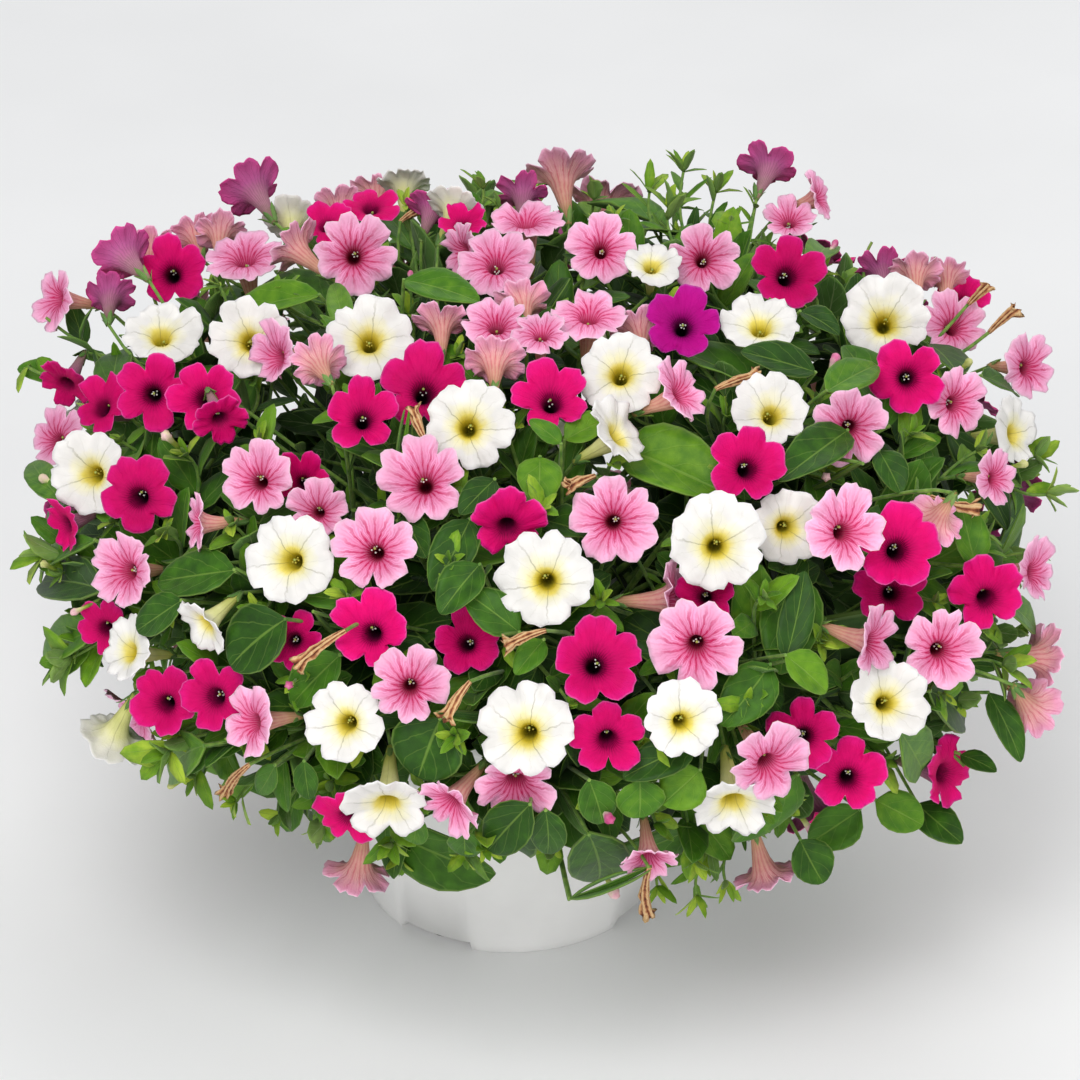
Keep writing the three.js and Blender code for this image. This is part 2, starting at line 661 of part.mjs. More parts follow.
// Shares pieces out among groups: the first middles lie far apart, then each settles.
function groupPieces(pieces, count) {
  const middles = [pieces[0].anchor.clone()];
  const nearest = (place) => {
    const distances = middles.map((middle) => middle.distanceTo(place));
    return distances.indexOf(Math.min(...distances));
  };
  while (middles.length < count) {
    const gaps = pieces.map(({ anchor }) => middles[nearest(anchor)].distanceTo(anchor));
    middles.push(pieces[gaps.indexOf(Math.max(...gaps))].anchor.clone());
  }
  let groups = [];
  for (let round = 0; round < groupRounds; round++) {
    groups = middles.map(() => []);
    pieces.forEach((piece) => groups[nearest(piece.anchor)].push(piece));
    groups.forEach((group, i) => {
      middles[i].set(0, 0, 0);
      group.forEach((piece) => middles[i].addScaledVector(piece.anchor, 1 / group.length));
    });
  }
  return groups.map((group, i) => ({ pieces: group, middle: middles[i] }));
}

// Stems.

const stemCount = Object.values(spraysOf).reduce((sum, count) => sum + count, leafyStems);
const freeHoles = Array.from({ length: stemCount }, (_, i) => {
  const radius = holesRadius * Math.sqrt((i + holesInset) / stemCount);
  const turn = i * golden;
  return new THREE.Vector3(radius * Math.cos(turn), radius * Math.sin(turn), soilTop - holeDepth);
});

// The free hole nearest to the way a stem leans: low stems start near the rim.
function takeHole(end) {
  const outwards = new THREE.Vector3(end.x, end.y, 0);
  const lean = Math.atan2(outwards.length(), end.z - soilTop);
  const wish = outwards.normalize().multiplyScalar(holesRadius * Math.min(lean / steepestLean, 1));
  const distances = freeHoles.map((hole) => Math.hypot(hole.x - wish.x, hole.y - wish.y));
  return freeHoles.splice(distances.indexOf(Math.min(...distances)), 1)[0];
}

// Rings of a main stem from its tip down to its foot. It is upright in its hole.
function stemRings(path, side, margin) {
  let across = side;
  const rings = path.map((point, i) => {
    const before = path[Math.max(i - 1, 0)];
    const after = path[Math.min(i + 1, path.length - 1)];
    const axis = i < 2 ? up : after.clone().sub(before).normalize();
    const radius = THREE.MathUtils.lerp(stemRadius, stemTipRadius, i / (path.length - 1));
    across = squareTo(axis, across);
    return ring(point, axis, across, radius + margin, stemSides);
  });
  return rings.reverse();
}

// The plain hole that a stem's foot stands in, wider than the foot on all three sides.
function holeSkin(bottom, side) {
  const radius = stemRadius + 2 * seatGap;
  const heights = [soilTop + holeDepth, bottom.z];
  return loft(heights.map((height) => ring(bottom.clone().setZ(height), up, side, radius, stemSides)));
}

// A main stem from its hole in the soil, over the rim where its end hangs low.
function growStem(end) {
  const hole = takeHole(end);
  const foot = along(hole, up, seatGap);
  const collar = foot.clone().setZ(soilTop + collarHeight);
  const side = up.clone().cross(end.clone().sub(foot)).normalize();
  const hang = THREE.MathUtils.clamp((hangBelow - end.z) / hangRange, 0, 1);
  for (let attempt = 0; attempt < stemTries; attempt++) {
    const sway = leastSway + attempt * swayStep;
    const tip = end.clone().add(randomVector(sway / 2));
    const knee = mix(collar, tip, kneeShare + kneeShareHanging * hang);
    knee.z = Math.max(knee.z, collar.z + kneeRise + kneeRiseHanging * hang);
    knee.add(randomVector(sway));
    const path = [foot, ...new THREE.QuadraticBezierCurve3(collar, knee, tip).getPoints(stemSteps)];
    if (isClear(loft(stemRings(path, side, room)))) {
      const trunk = stand(loft(stemRings(path, side, 0)));
      return { path, trunk, solid: trunk.solid, hole: holeSkin(hole, side) };
    }
  }
  throw new Error("no clear way for a stem");
}

// Points along a stem's upper part where a stalk can start, the handiest first.
function perches(stem, from, heading) {
  const points = stem.path.slice(2, -1).flatMap((start, i) =>
    perchShares.map((share) => mix(start, stem.path[i + 3], share)),
  );
  const cost = (point) => {
    const way = from.clone().sub(point);
    const turn = way.clone().normalize().dot(heading);
    return way.length() + turnCost * (1 - turn) + spread(costSpread);
  };
  return points
    .map((point) => ({ point, cost: cost(point) }))
    .sort((a, b) => a.cost - b.cost)
    .map((entry) => entry.point);
}

// Joins a skin to the stem's solid, unless they stay apart or leave a face that is too thin.
function fuse(stem, skin) {
  const joined = stem.solid.add(solidFromSkin(skin));
  if (joined.decompose().length > 1 || thinnestHeight(joined) < thinnestFace) {
    return false;
  }
  stem.solid = joined;
  return true;
}

// The skin of a piece's stalk alone, closed where it meets the piece.
function stalkSkin(piece, path, margin) {
  const side = squareTo(piece.heading, randomVector(1));
  const front = ring(piece.anchor, piece.heading, side, calyxRadius + margin, stemSides);
  return loft([front, ...stalkRings(piece.anchor, path, side, margin)]);
}

// Joins a piece to a stem by a stalk that stands clear, bent where it must be.
function joinToStem(stem, piece, bends) {
  const allowed = [stem.trunk, piece.head];
  const choices = perches(stem, piece.anchor, piece.heading);
  for (let bend = 0; bend <= bends; bend++) {
    for (const perch of choices) {
      const path = [perch];
      if (bend > 0) {
        const knee = mix(piece.anchor, perch, bendShare * (1 + random()));
        path.unshift(knee.add(randomVector(bendSway + bendSwayStep * bend)));
      }
      const skins = [stalkSkin(piece, path, room), piece.skin(path)];
      if (skins.every((skin) => isClear(skin, allowed)) && fuse(stem, piece.skin(path))) {
        takeAway(piece.head);
        stand(piece.skin(path));
        return true;
      }
    }
  }
  return false;
}

// The plant: heads first, then the main stems, then the stalks that join them.

const potSolid = potShell();
const potReach = new THREE.Vector3(rimRadius, rimRadius, potHeight);
const potBox = new THREE.Box3(new THREE.Vector3(-rimRadius, -rimRadius, 0), potReach);
standing.push({ solid: potSolid, box: potBox });

const seenRows = { white: whiteSeen, pink: pinkSeen, magenta: magentaSeen };
const flowers = Object.entries(seenRows).flatMap(([colour, rows]) =>
  rows.map((row) => seenFlower(colour, row)),
);
flowers.sort((a, b) => b.radius - a.radius);
const leaves = [...leavesSeen.map(seenLeaf), ...witheredSeen.map(seenWithered)];
const heads = [...flowers, ...leaves];
for (const point of skinPoints(unseenFlowers)) {
  if (depthOf(point) > hiddenBehind && point.z > lowestFlower) {
    heads.push(unseenFlower(point));
  }
}
const placed = heads.filter(placeHead);

const shoots = [];
for (const [colour, count] of Object.entries({ ...spraysOf, leafy: leafyStems })) {
  const pieces = placed.filter((piece) => (piece.colour ?? "leafy") === colour);
  for (const group of groupPieces(pieces, count)) {
    shoots.push({ colour, ...group });
  }
}
shoots.sort((a, b) => a.middle.z - b.middle.z);
for (const shoot of shoots) {
  shoot.stem = growStem(mix(moundCore, shoot.middle, stemReach));
}

const soilSolid = soilFilling(shoots.map((shoot) => shoot.stem.hole));
standing.push({ solid: soilSolid, box: potBox.clone() });

// Joins a piece to one of the stems of its colour, the nearest first.
function joinToNearest(piece, colour, bends) {
  const stems = shoots.filter((shoot) => shoot.colour === colour);
  const distance = (shoot) => shoot.middle.distanceTo(piece.anchor);
  stems.sort((a, b) => distance(a) - distance(b));
  return stems.slice(0, stemsTried).some((shoot) => joinToStem(shoot.stem, piece, bends));
}

for (const piece of placed) {
  if (!joinToNearest(piece, piece.colour ?? "leafy", mostBends)) {
    takeAway(piece.head);
  }
}

for (const point of skinPoints(unseenLeaves)) {
  const leaf = unseenLeaf(point);
  if (point.z > lowestLeaf && placeHead(leaf) && !joinToNearest(leaf, "leafy", mostLeafBends)) {
    takeAway(leaf.head);
  }
}

// The finished plant in its pot.

function finish(color, roughness) {
  return new THREE.MeshStandardMaterial({ color, roughness, metalness: 0 });
}

const finishes = {
  pot: finish("#ece9e6", 0.55),
  soil: finish("#2a2018", 0.95),
  white: finish("#f3efe8", 0.7),
  pink: finish("#f493bb", 0.7),
  magenta: finish("#d0045f", 0.65),
  leafy: finish("#3f7a1c", 0.6),
};

const pottedPetunia = new THREE.Group();
pottedPetunia.add(meshFromSolid(potSolid, "pot", finishes.pot));
pottedPetunia.add(meshFromSolid(soilSolid, "soil", finishes.soil));
for (const colour of Object.keys(spraysOf).concat("leafy")) {
  const kind = colour === "leafy" ? "leafy_stem" : `${colour}_spray`;
  const ofColour = shoots.filter((shoot) => shoot.colour === colour);
  ofColour.forEach(({ stem }, i) => {
    pottedPetunia.add(meshFromSolid(stem.solid, `${kind}_${i + 1}`, finishes[colour]));
  });
}

export default pottedPetunia;
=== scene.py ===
# Potted petunia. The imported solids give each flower, leaf and stem its place, and this script
# dresses them. Metres, +Z up, and the front faces -Y.
import math
import random

import bmesh
import bpy
from mathutils import Matrix, Vector, noise
from mathutils.geometry import interpolate_bezier
from mathutils.kdtree import KDTree


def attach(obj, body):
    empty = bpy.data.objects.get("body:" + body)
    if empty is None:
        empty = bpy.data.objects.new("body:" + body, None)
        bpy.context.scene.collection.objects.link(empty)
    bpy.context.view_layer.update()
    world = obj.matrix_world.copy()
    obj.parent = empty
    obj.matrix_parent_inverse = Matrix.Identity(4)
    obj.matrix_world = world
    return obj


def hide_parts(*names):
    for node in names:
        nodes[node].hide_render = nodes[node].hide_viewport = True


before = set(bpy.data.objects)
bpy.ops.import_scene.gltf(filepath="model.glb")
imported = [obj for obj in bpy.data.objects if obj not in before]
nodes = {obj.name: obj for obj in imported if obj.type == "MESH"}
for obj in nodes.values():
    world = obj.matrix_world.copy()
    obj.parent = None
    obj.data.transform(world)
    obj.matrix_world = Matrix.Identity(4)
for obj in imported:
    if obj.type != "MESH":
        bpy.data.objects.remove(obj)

mm = 0.001
scene = bpy.context.scene
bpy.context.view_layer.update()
tau = 2 * math.pi
goldenTurn = math.pi * (3 - math.sqrt(5))
upward = Vector((0, 0, 1))


# small helpers
def linear(hexColour, alpha=1.0):
    parts = [int(hexColour[i:i + 2], 16) / 255 for i in (1, 3, 5)]
    return [c / 12.92 if c <= 0.04045 else ((c + 0.055) / 1.055) ** 2.4 for c in parts] + [alpha]


def mix(a, b, share):
    return a + (b - a) * share


def smooth(low, high, value):
    share = min(max((value - low) / (high - low), 0), 1)
    return share * share * (3 - 2 * share)


def middle(points):
    return sum(points, Vector()) / len(points)


def axesFrame(place, forward, side):
    # a frame whose Z looks forward and whose X leans as near to side as it can
    z = forward.normalized()
    x = (side - z * side.dot(z)).normalized()
    return Matrix.Translation(place) @ Matrix((x, z.cross(x), z)).transposed().to_4x4()


def spinProfile(bm, profile, steps, joined, layer=None, values=()):
    # turns radii and heights round Z into a closed skin and returns its corners
    old = set(bm.verts)
    line = [bm.verts.new((radius, 0, height)) for radius, height in profile]
    edges = [bm.edges.new(pair) for pair in zip(line, line[1:])]
    for vert, value in zip(line, values):
        vert[layer] = value
    bmesh.ops.spin(bm, geom=line + edges, cent=(0, 0, 0), axis=(0, 0, 1), dvec=(0, 0, 0),
                   angle=tau, steps=steps, use_merge=True)
    fresh = [vert for vert in bm.verts if vert not in old]
    bmesh.ops.remove_doubles(bm, verts=fresh, dist=joined)
    return [vert for vert in bm.verts if vert not in old]


def newPiece(name, bm, materials, slotName, *replaced):
    mesh = bpy.data.meshes.new(name)
    bm.to_mesh(mesh)
    bm.free()
    for material in materials:
        mesh.materials.append(material)
    mesh.shade_smooth()
    piece = bpy.data.objects.new(name, mesh)
    scene.collection.objects.link(piece)
    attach(piece, "root")
    if replaced:
        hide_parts(*replaced)
    return piece


# camera: 29.5 degrees above the horizon, far off with a long lens
view = dict(elevation=29.5, distance=2.4, target=Vector((0.0165, 0, 0.211)), lens=150.9)

tilt = math.radians(view["elevation"])
viewAlong = Vector((0, math.cos(tilt), -math.sin(tilt)))
viewUp = Vector((0, math.sin(tilt), math.cos(tilt)))
eye = view["target"] - viewAlong * view["distance"]
camera = bpy.data.objects.new("camera", bpy.data.cameras.new("camera"))
camera.data.lens = view["lens"]
camera.location = eye
camera.rotation_euler = (math.radians(90) - tilt, 0, 0)
scene.collection.objects.link(camera)
scene.camera = camera


# mound: flowers and leaves stand on an egg-shaped skin
mound = dict(centre=Vector((0.0165, 0, 0.2235)), radii=Vector((0.265, 0.26, 0.162)))


def inMound(point):
    # 0 in the middle of the mound and 1 on its skin
    away = point - mound["centre"]
    return Vector(away[i] / mound["radii"][i] for i in range(3)).length


def outwardAt(point):
    away = point - mound["centre"]
    return Vector(away[i] / mound["radii"][i] ** 2 for i in range(3)).normalized()


def seenPoint(right, above, depth=0.0):
    # the point of the skin that the camera sees at a place of the front view, in millimetres
    aim = view["target"] + Vector((right * mm, 0, 0)) + viewUp * (above * mm)
    ray = (aim - eye).normalized()
    start = eye - mound["centre"]
    a, b, c = 0.0, 0.0, -1.0
    for i in range(3):
        radius = mound["radii"][i]
        a += (ray[i] / radius) ** 2
        b += ray[i] * start[i] / radius ** 2
        c += (start[i] / radius) ** 2
    reach = (-b - math.sqrt(max(b * b - a * c, 0))) / a
    return eye + ray * (reach + depth)


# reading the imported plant: a merged copy of each shoot's mesh shows its heads and stems, and the
# lengths of a few edges tell a flower, a leaf and a withered flower from any other corner
solid = dict(
    footLevel=0.1273, collarLevel=0.142, levelSlack=0.01 * mm,
    tipEdge=0.003464, tipSlack=0.02 * mm, tipShare=0.7, curveSteps=16,
    # a stalk's ring stands off its stem by at least this much where it marks a bend
    bendLeast=6 * mm,
    tubeDepth=1.65, notchShare=0.83, notchSlack=0.02, petalSlack=0.5 * mm,
    leafFootEdge=0.001992, leafFootSlack=0.1 * mm, leafLeast=12 * mm,
    rollEdge=0.003578, rollSlack=0.2 * mm, rollSpread=0.1 * mm, rollLeast=6 * mm)


def around(vert):
    return [edge.other_vert(vert) for edge in vert.link_edges]


def nextRing(ring, seen):
    found = []
    for vert in ring:
        for other in around(vert):
            if other not in seen:
                seen.add(other)
                found.append(other)
    return found


def nearestOn(curve, point):
    return min(curve, key=lambda knot: (knot - point).length)


def readTrunk(bm):
    def isFoot(face):
        return all(abs(v.co.z - solid["footLevel"]) < solid["levelSlack"] for v in face.verts)

    def isTip(face):
        return all(abs(e.calc_length() - solid["tipEdge"]) < solid["tipSlack"] for e in face.edges)

    triangles = [face for face in bm.faces if len(face.verts) == 3]
    foot = next(face for face in triangles if isFoot(face))
    start = foot.calc_center_median()
    collar = start.copy()
    collar.z = solid["collarLevel"]
    seen = set(foot.verts)
    first = nextRing(nextRing(list(foot.verts), seen), seen)
    first = middle([v.co for v in first])
    tips = [face for face in triangles if isTip(face)]
    if tips:
        tip = tips[0].calc_center_median()
    else:
        farthest = max((v.co for v in bm.verts), key=lambda co: (co - first).length)
        tip = mix(first, farthest, solid["tipShare"])
    # the stem is a curve with one knee, and its first ring stands a third of the way along it
    knee = (first - collar * 4 / 9 - tip / 9) * 9 / 4
    steps = solid["curveSteps"]
    curve = [collar * (1 - t) ** 2 + knee * 2 * t * (1 - t) + tip * t * t
             for t in [i / steps for i in range(steps + 1)]]
    return [start] + curve


def readStalk(ring, seen, anchor, trunk):
    # the way from a head down to its stem, with the bend that the solid's stalk has
    bends = []
    below = nextRing(ring, seen)
    if len(below) == 3:
        place = middle([v.co for v in below])
        if (place - nearestOn(trunk, place)).length > solid["bendLeast"]:
            bends.append(place)
            below = nextRing(below, seen)
    lead = middle([v.co for v in below]) if below else anchor
    fine = [mix(a, b, i / 4) for a, b in zip(trunk[2:], trunk[3:]) for i in range(4)]
    return bends, nearestOn(fine, lead)


def readFlower(throat, trunk):
    rim = around(throat)
    centre = middle([v.co for v in rim])
    heading = (centre - throat.co).normalized()
    spokes = [(v.co - centre) - heading * (v.co - centre).dot(heading) for v in rim]
    ranked = sorted(spokes, key=lambda spoke: spoke.length)
    radius = sum(spoke.length for spoke in ranked[5:]) / 5
    notch = sum(spoke.length for spoke in ranked[:5]) / 5
    isFlower = abs(notch / radius - solid["notchShare"]) <= solid["notchSlack"]
    if not isFlower or ranked[9].length - ranked[5].length > solid["petalSlack"]:
        return None
    anchor = centre - heading * solid["tubeDepth"] * radius
    seen = {throat, *rim}
    calyx = nextRing(nextRing(rim, seen), seen)
    bends, root = readStalk(calyx, seen, anchor, trunk)
    return dict(place=axesFrame(centre, heading, ranked[9]), centre=centre, heading=heading,
                radius=radius, anchor=anchor, bends=bends, root=root)


def readLeaf(rib, trunk):
    ring = around(rib)
    gap, i, j = min(((a.co - b.co).length, i, j) for i, a in enumerate(ring)
                    for j, b in enumerate(ring[:i]))
    foot = [ring[i], ring[j]]
    if abs(gap - solid["leafFootEdge"]) > solid["leafFootSlack"]:
        return None
    base = middle([v.co for v in foot])
    tip = max(ring, key=lambda v: (v.co - base).length)
    length = (tip.co - base).length
    # of the four side corners, the widest pair is nearer to the base than the shoulders
    sides = sorted((v for v in ring if v not in foot and v != tip),
                   key=lambda v: (v.co - base).length)
    across = sides[0].co - sides[1].co
    if length < solid["leafLeast"] or len(sides) != 4:
        return None
    above = middle([f.normal for f in rib.link_faces]).normalized()
    chord = (tip.co - base).normalized()
    if (across.cross(chord)).dot(above) < 0:
        across = -across
    seen = {rib, *ring}
    under = nextRing(foot, seen)
    bends, root = readStalk(under[:3], seen, base, trunk)
    return dict(base=base, tip=tip.co.copy(), above=above, across=across, width=across.length,
                length=length, bends=bends, root=root)


def readWithered(cup, trunk):
    mouth = around(cup)
    spans = [(v.co - cup.co).length for v in mouth]
    uneven = max(spans) - min(spans) > solid["rollSpread"]
    if uneven or abs(spans[0] - solid["rollEdge"]) > solid["rollSlack"]:
        return None
    tip = middle([v.co for v in mouth])
    seen = {cup, *mouth}
    calyx = nextRing(mouth, seen)
    base = middle([v.co for v in calyx])
    if len(calyx) != 3 or (tip - base).length < solid["rollLeast"]:
        return None
    bends, root = readStalk(calyx, seen, base, trunk)
    return dict(base=base, tip=tip, bends=bends, root=root)


shoots = {}
for name, node in nodes.items():
    if name in ("pot", "soil"):
        continue
    bm = bmesh.new()
    bm.from_mesh(node.data)
    bmesh.ops.remove_doubles(bm, verts=bm.verts, dist=0.01 * mm)
    bm.normal_update()
    trunk = readTrunk(bm)
    # a head is known by the number of edges that meet in its middle
    readers = {10: readFlower, 7: readLeaf, 6: readWithered}
    heads = {count: [] for count in readers}
    for vert in bm.verts:
        count = len(vert.link_edges)
        if count in heads and (head := readers[count](vert, trunk)):
            heads[count].append(head)
    leafy = name.startswith("leafy")
    shoots[name] = dict(trunk=trunk, flowers=[] if leafy else heads[10],
                        leaves=heads[7] if leafy else [], withered=heads[6] if leafy else [])
    bm.free()

flowers = [flower for shoot in shoots.values() for flower in shoot["flowers"]]
print("read", len(flowers), "flowers,", sum(len(s["leaves"]) for s in shoots.values()), "leaves,",
      sum(len(s["withered"]) for s in shoots.values()), "withered flowers")


# materials
def addNode(tree, kind, *values, sockets=None, stops=None, **settings):
    # values fill the node's sockets in order, and may be numbers, colours, nodes or outputs
    node = tree.nodes.new("ShaderNode" + kind)
    for key, value in settings.items():
        setattr(node, key, value)
    pairs = list(zip([socket for socket in node.inputs if socket.enabled], values))
    pairs += [(node.inputs[key], value) for key, value in (sockets or {}).items()]
    for socket, value in pairs:
        if isinstance(value, bpy.types.Node):
            value = next(out for out in value.outputs if out.enabled)
        if isinstance(value, bpy.types.NodeSocket):
            tree.links.new(value, socket)
        elif value is not None:
            socket.default_value = value
    if stops:
        ramp = node.color_ramp.elements
        while len(ramp) < len(stops):
            ramp.new(0.5)
        for step, (position, colour) in zip(ramp, stops):
            step.position = position
            step.color = linear(colour)
    return node


def newMaterial(name):
    material = bpy.data.materials.new(name)
    material.use_nodes = True
    tree = material.node_tree
    tree.nodes.clear()
    shader = addNode(tree, "BsdfPrincipled")
    addNode(tree, "OutputMaterial", shader)
    return material, tree, shader


def finishShader(tree, shader, colour, height=None, depth=0.2 * mm, **sockets):
    tree.links.new(next(out for out in colour.outputs if out.enabled), shader.inputs["Base Color"])
    for key, value in sockets.items():
        shader.inputs[key.replace("_", " ")].default_value = value
    if height:
        bump = addNode(tree, "Bump", sockets={"Height": height, "Distance": depth, "Strength": 1.0})
        tree.links.new(bump.outputs[0], shader.inputs["Normal"])


# petal: thin plant tissue with a velvety skin, so it is matt; its paler margin is a painted glint
petalLooks = dict(
    white=dict(
        stops=[(0, "#A29E2C"), (0.12, "#C0B430"), (0.18, "#DCC83C"), (0.25, "#ECDC74"),
               (0.31, "#EFEAC8"), (0.38, "#ECE9E4"), (0.5, "#F0EDEA"), (0.64, "#EDE9DB"),
               (0.76, "#E9E6A6"), (0.9, "#C9CC66"), (1, "#8FA548")],
        vein="#86825E", count=1, line=(0.045, 0.014),
        strength=[(0.18, "#B0B0B0"), (0.3, "#C8C8C8"), (0.41, "#909090"), (0.485, "#000000"),
                  (0.6, "#303030"), (0.8, "#909090")],
        rim="#FAF8F8", branches=0.3, band=0.1, tone=(0.93, 1.0)),
    pink=dict(
        stops=[(0, "#4A2420"), (0.12, "#7A3C40"), (0.155, "#AE5A70"), (0.2, "#D8709A"),
               (0.26, "#EC83B2"), (0.36, "#F39FC9"), (0.5, "#FBC0DE"), (0.6, "#F4A6C4"),
               (0.7, "#F0B2B2"), (0.84, "#E0B294"), (0.94, "#C4B070"), (1, "#9A9A50")],
        vein="#C00050", count=3, line=(0.1, 0.03),
        strength=[(0.12, "#FFFFFF"), (0.3, "#F8F8F8"), (0.38, "#D0D0D0"), (0.44, "#808080"),
                  (0.485, "#101010"), (0.56, "#808080"), (0.72, "#C8C8C8"), (0.95, "#909090")],
        rim="#FFDCEB", branches=0.5, band=0.34, tone=(0.9, 1.05)),
    magenta=dict(
        stops=[(0, "#44163A"), (0.12, "#66103F"), (0.16, "#9A0650"), (0.2, "#BC005C"),
               (0.26, "#CE0062"), (0.4, "#DA0068"), (0.5, "#E41480"), (0.55, "#CC4A90"),
               (0.7, "#C2609A"), (0.84, "#C08A98"), (0.93, "#AE947C"), (1, "#8A8A4A")],
        vein="#24021C", count=5, line=(0.06, 0.016),
        strength=[(0.12, "#FFFFFF"), (0.24, "#F0F0F0"), (0.29, "#A0A0A0"), (0.34, "#383838"),
                  (0.48, "#000000"), (0.56, "#606060"), (0.8, "#A0A0A0")],
        rim="#F068B2", branches=0.5, band=0.34, tone=(0.84, 1.08)),
)


def petalVeins(tree, across, reach, count, near, far):
    # evenly spaced lines over a petal, as wide as near by the throat and as far by the rim
    counted = addNode(tree, "Math", across, float(count), 0.5, operation="MULTIPLY_ADD")
    away = addNode(tree, "Math", addNode(tree, "Math", counted, operation="FRACT"), 0.5,
                   operation="SUBTRACT")
    limb = addNode(tree, "MapRange", reach, 0.4, 1.0, near * count, far * count)
    tube = addNode(tree, "MapRange", reach, 1.15, 1.6, 0.0, near * count)
    wide = addNode(tree, "Math", limb, tube, operation="MAXIMUM")
    sharp = addNode(tree, "Math", addNode(tree, "Math", away, operation="ABSOLUTE"), wide,
                    operation="DIVIDE")
    return addNode(tree, "MapRange", sharp, 0.4, 1.2, 1.0, 0.0, interpolation_type="SMOOTHSTEP")


def petalMaterial(colour):
    look = petalLooks[colour]
    material, tree, shader = newMaterial(f"{colour} petunia petal")
    parts = addNode(tree, "SeparateXYZ", addNode(tree, "UVMap", uv_map="petal"))
    turn, reach = parts.outputs[0], parts.outputs[1]
    place = addNode(tree, "TexCoord").outputs["Object"]
    tint = addNode(tree, "Attribute", attribute_name="tint").outputs["Fac"]
    half = addNode(tree, "Math", reach, 0.5, operation="MULTIPLY")
    blotch = addNode(tree, "TexNoise", place, sockets={"Scale": 1 / (6 * mm), "Detail": 2.0})
    blotch = addNode(tree, "MapRange", blotch, 0.3, 0.7, -0.02, 0.02)
    ground = addNode(tree, "ValToRGB", addNode(tree, "Math", half, blotch), stops=look["stops"])
    # veins fan out from each petal's middle, waver, and lie closer together near the throat
    wobble = addNode(tree, "TexNoise", place, sockets={"Scale": 1 / (4 * mm), "Detail": 3.0})
    wobble = addNode(tree, "MapRange", wobble, 0.2, 0.8, -0.07, 0.07)
    shifted = addNode(tree, "Math", addNode(tree, "Math", turn, 0.5), operation="FRACT")
    across = addNode(tree, "Math", shifted, 0.5, operation="SUBTRACT")
    fan = addNode(tree, "MapRange", reach, 0.4, 1.0, 0.6, 1.0)
    fanned = addNode(tree, "Math", addNode(tree, "Math", across, fan, operation="DIVIDE"), wobble)
    main = petalVeins(tree, fanned, reach, look["count"], *look["line"])
    fine = petalVeins(tree, fanned, reach, look["count"] * 3, *[width / 2 for width in look["line"]])
    fine = addNode(tree, "Math", fine, look["branches"], operation="MULTIPLY")
    vein = addNode(tree, "Math", main, fine, operation="MAXIMUM")
    strength = addNode(tree, "ValToRGB", half, stops=look["strength"])
    patchy = addNode(tree, "TexNoise", place, sockets={"Scale": 1 / (3 * mm), "Detail": 2.0})
    patchy = addNode(tree, "MapRange", patchy, 0.3, 0.6, 0.65, 1.0)
    # the skin between the veins is deeper in colour along a petal's middle
    band = petalVeins(tree, fanned, reach, 1, 0.3, 0.2)
    band = addNode(tree, "Math", band, look["band"], operation="MULTIPLY")
    veined = addNode(tree, "Math", addNode(tree, "Math", vein, band, operation="MAXIMUM"), strength,
                     operation="MULTIPLY")
    veined = addNode(tree, "Math", veined, patchy, operation="MULTIPLY")
    colourOf = addNode(tree, "Mix", veined, ground, linear(look["vein"]), data_type="RGBA")
    # painted light: a thin paler margin, painted as the glint of light through the rim of a petal
    rimGlint = addNode(tree, "Math", addNode(tree, "Math", reach, 1.03, operation="SUBTRACT"),
                     operation="ABSOLUTE")
    rimGlint = addNode(tree, "MapRange", rimGlint, 0.03, 0.075, 0.75, 0.0,
                     interpolation_type="SMOOTHSTEP")
    glintRimmed = addNode(tree, "Mix", rimGlint, colourOf, linear(look["rim"]), data_type="RGBA")
    low, high = look["tone"]
    value = addNode(tree, "MapRange", tint, 0.0, 1.0, low, high)
    soft = addNode(tree, "TexNoise", place, sockets={"Scale": 1 / (9 * mm), "Detail": 1.0})
    soft = addNode(tree, "MapRange", soft, 0.3, 0.7, 0.9, 1.04)
    value = addNode(tree, "Math", value, soft, operation="MULTIPLY")
    # most blooms keep their hue, and one whose tint is 2 turns violet
    hue = addNode(tree, "MapRange", tint, 1.0, 2.0, 0.5, 0.455)
    deeper = addNode(tree, "MapRange", tint, 1.0, 2.0, 1.0, 0.62)
    value = addNode(tree, "Math", value, deeper, operation="MULTIPLY")
    toned = addNode(tree, "HueSaturation", hue, 1.0, value, 1.0, glintRimmed)
    # crumpled skin: fine cells about 0.9 mm across, and the veins stand a little proud
    cells = addNode(tree, "TexNoise", place, sockets={"Scale": 1 / (0.9 * mm), "Detail": 2.0})
    height = addNode(tree, "Math", cells, vein)
    finishShader(tree, shader, toned, height, 0.15 * mm, Roughness=0.65, Specular_IOR_Level=0.12)
    return material
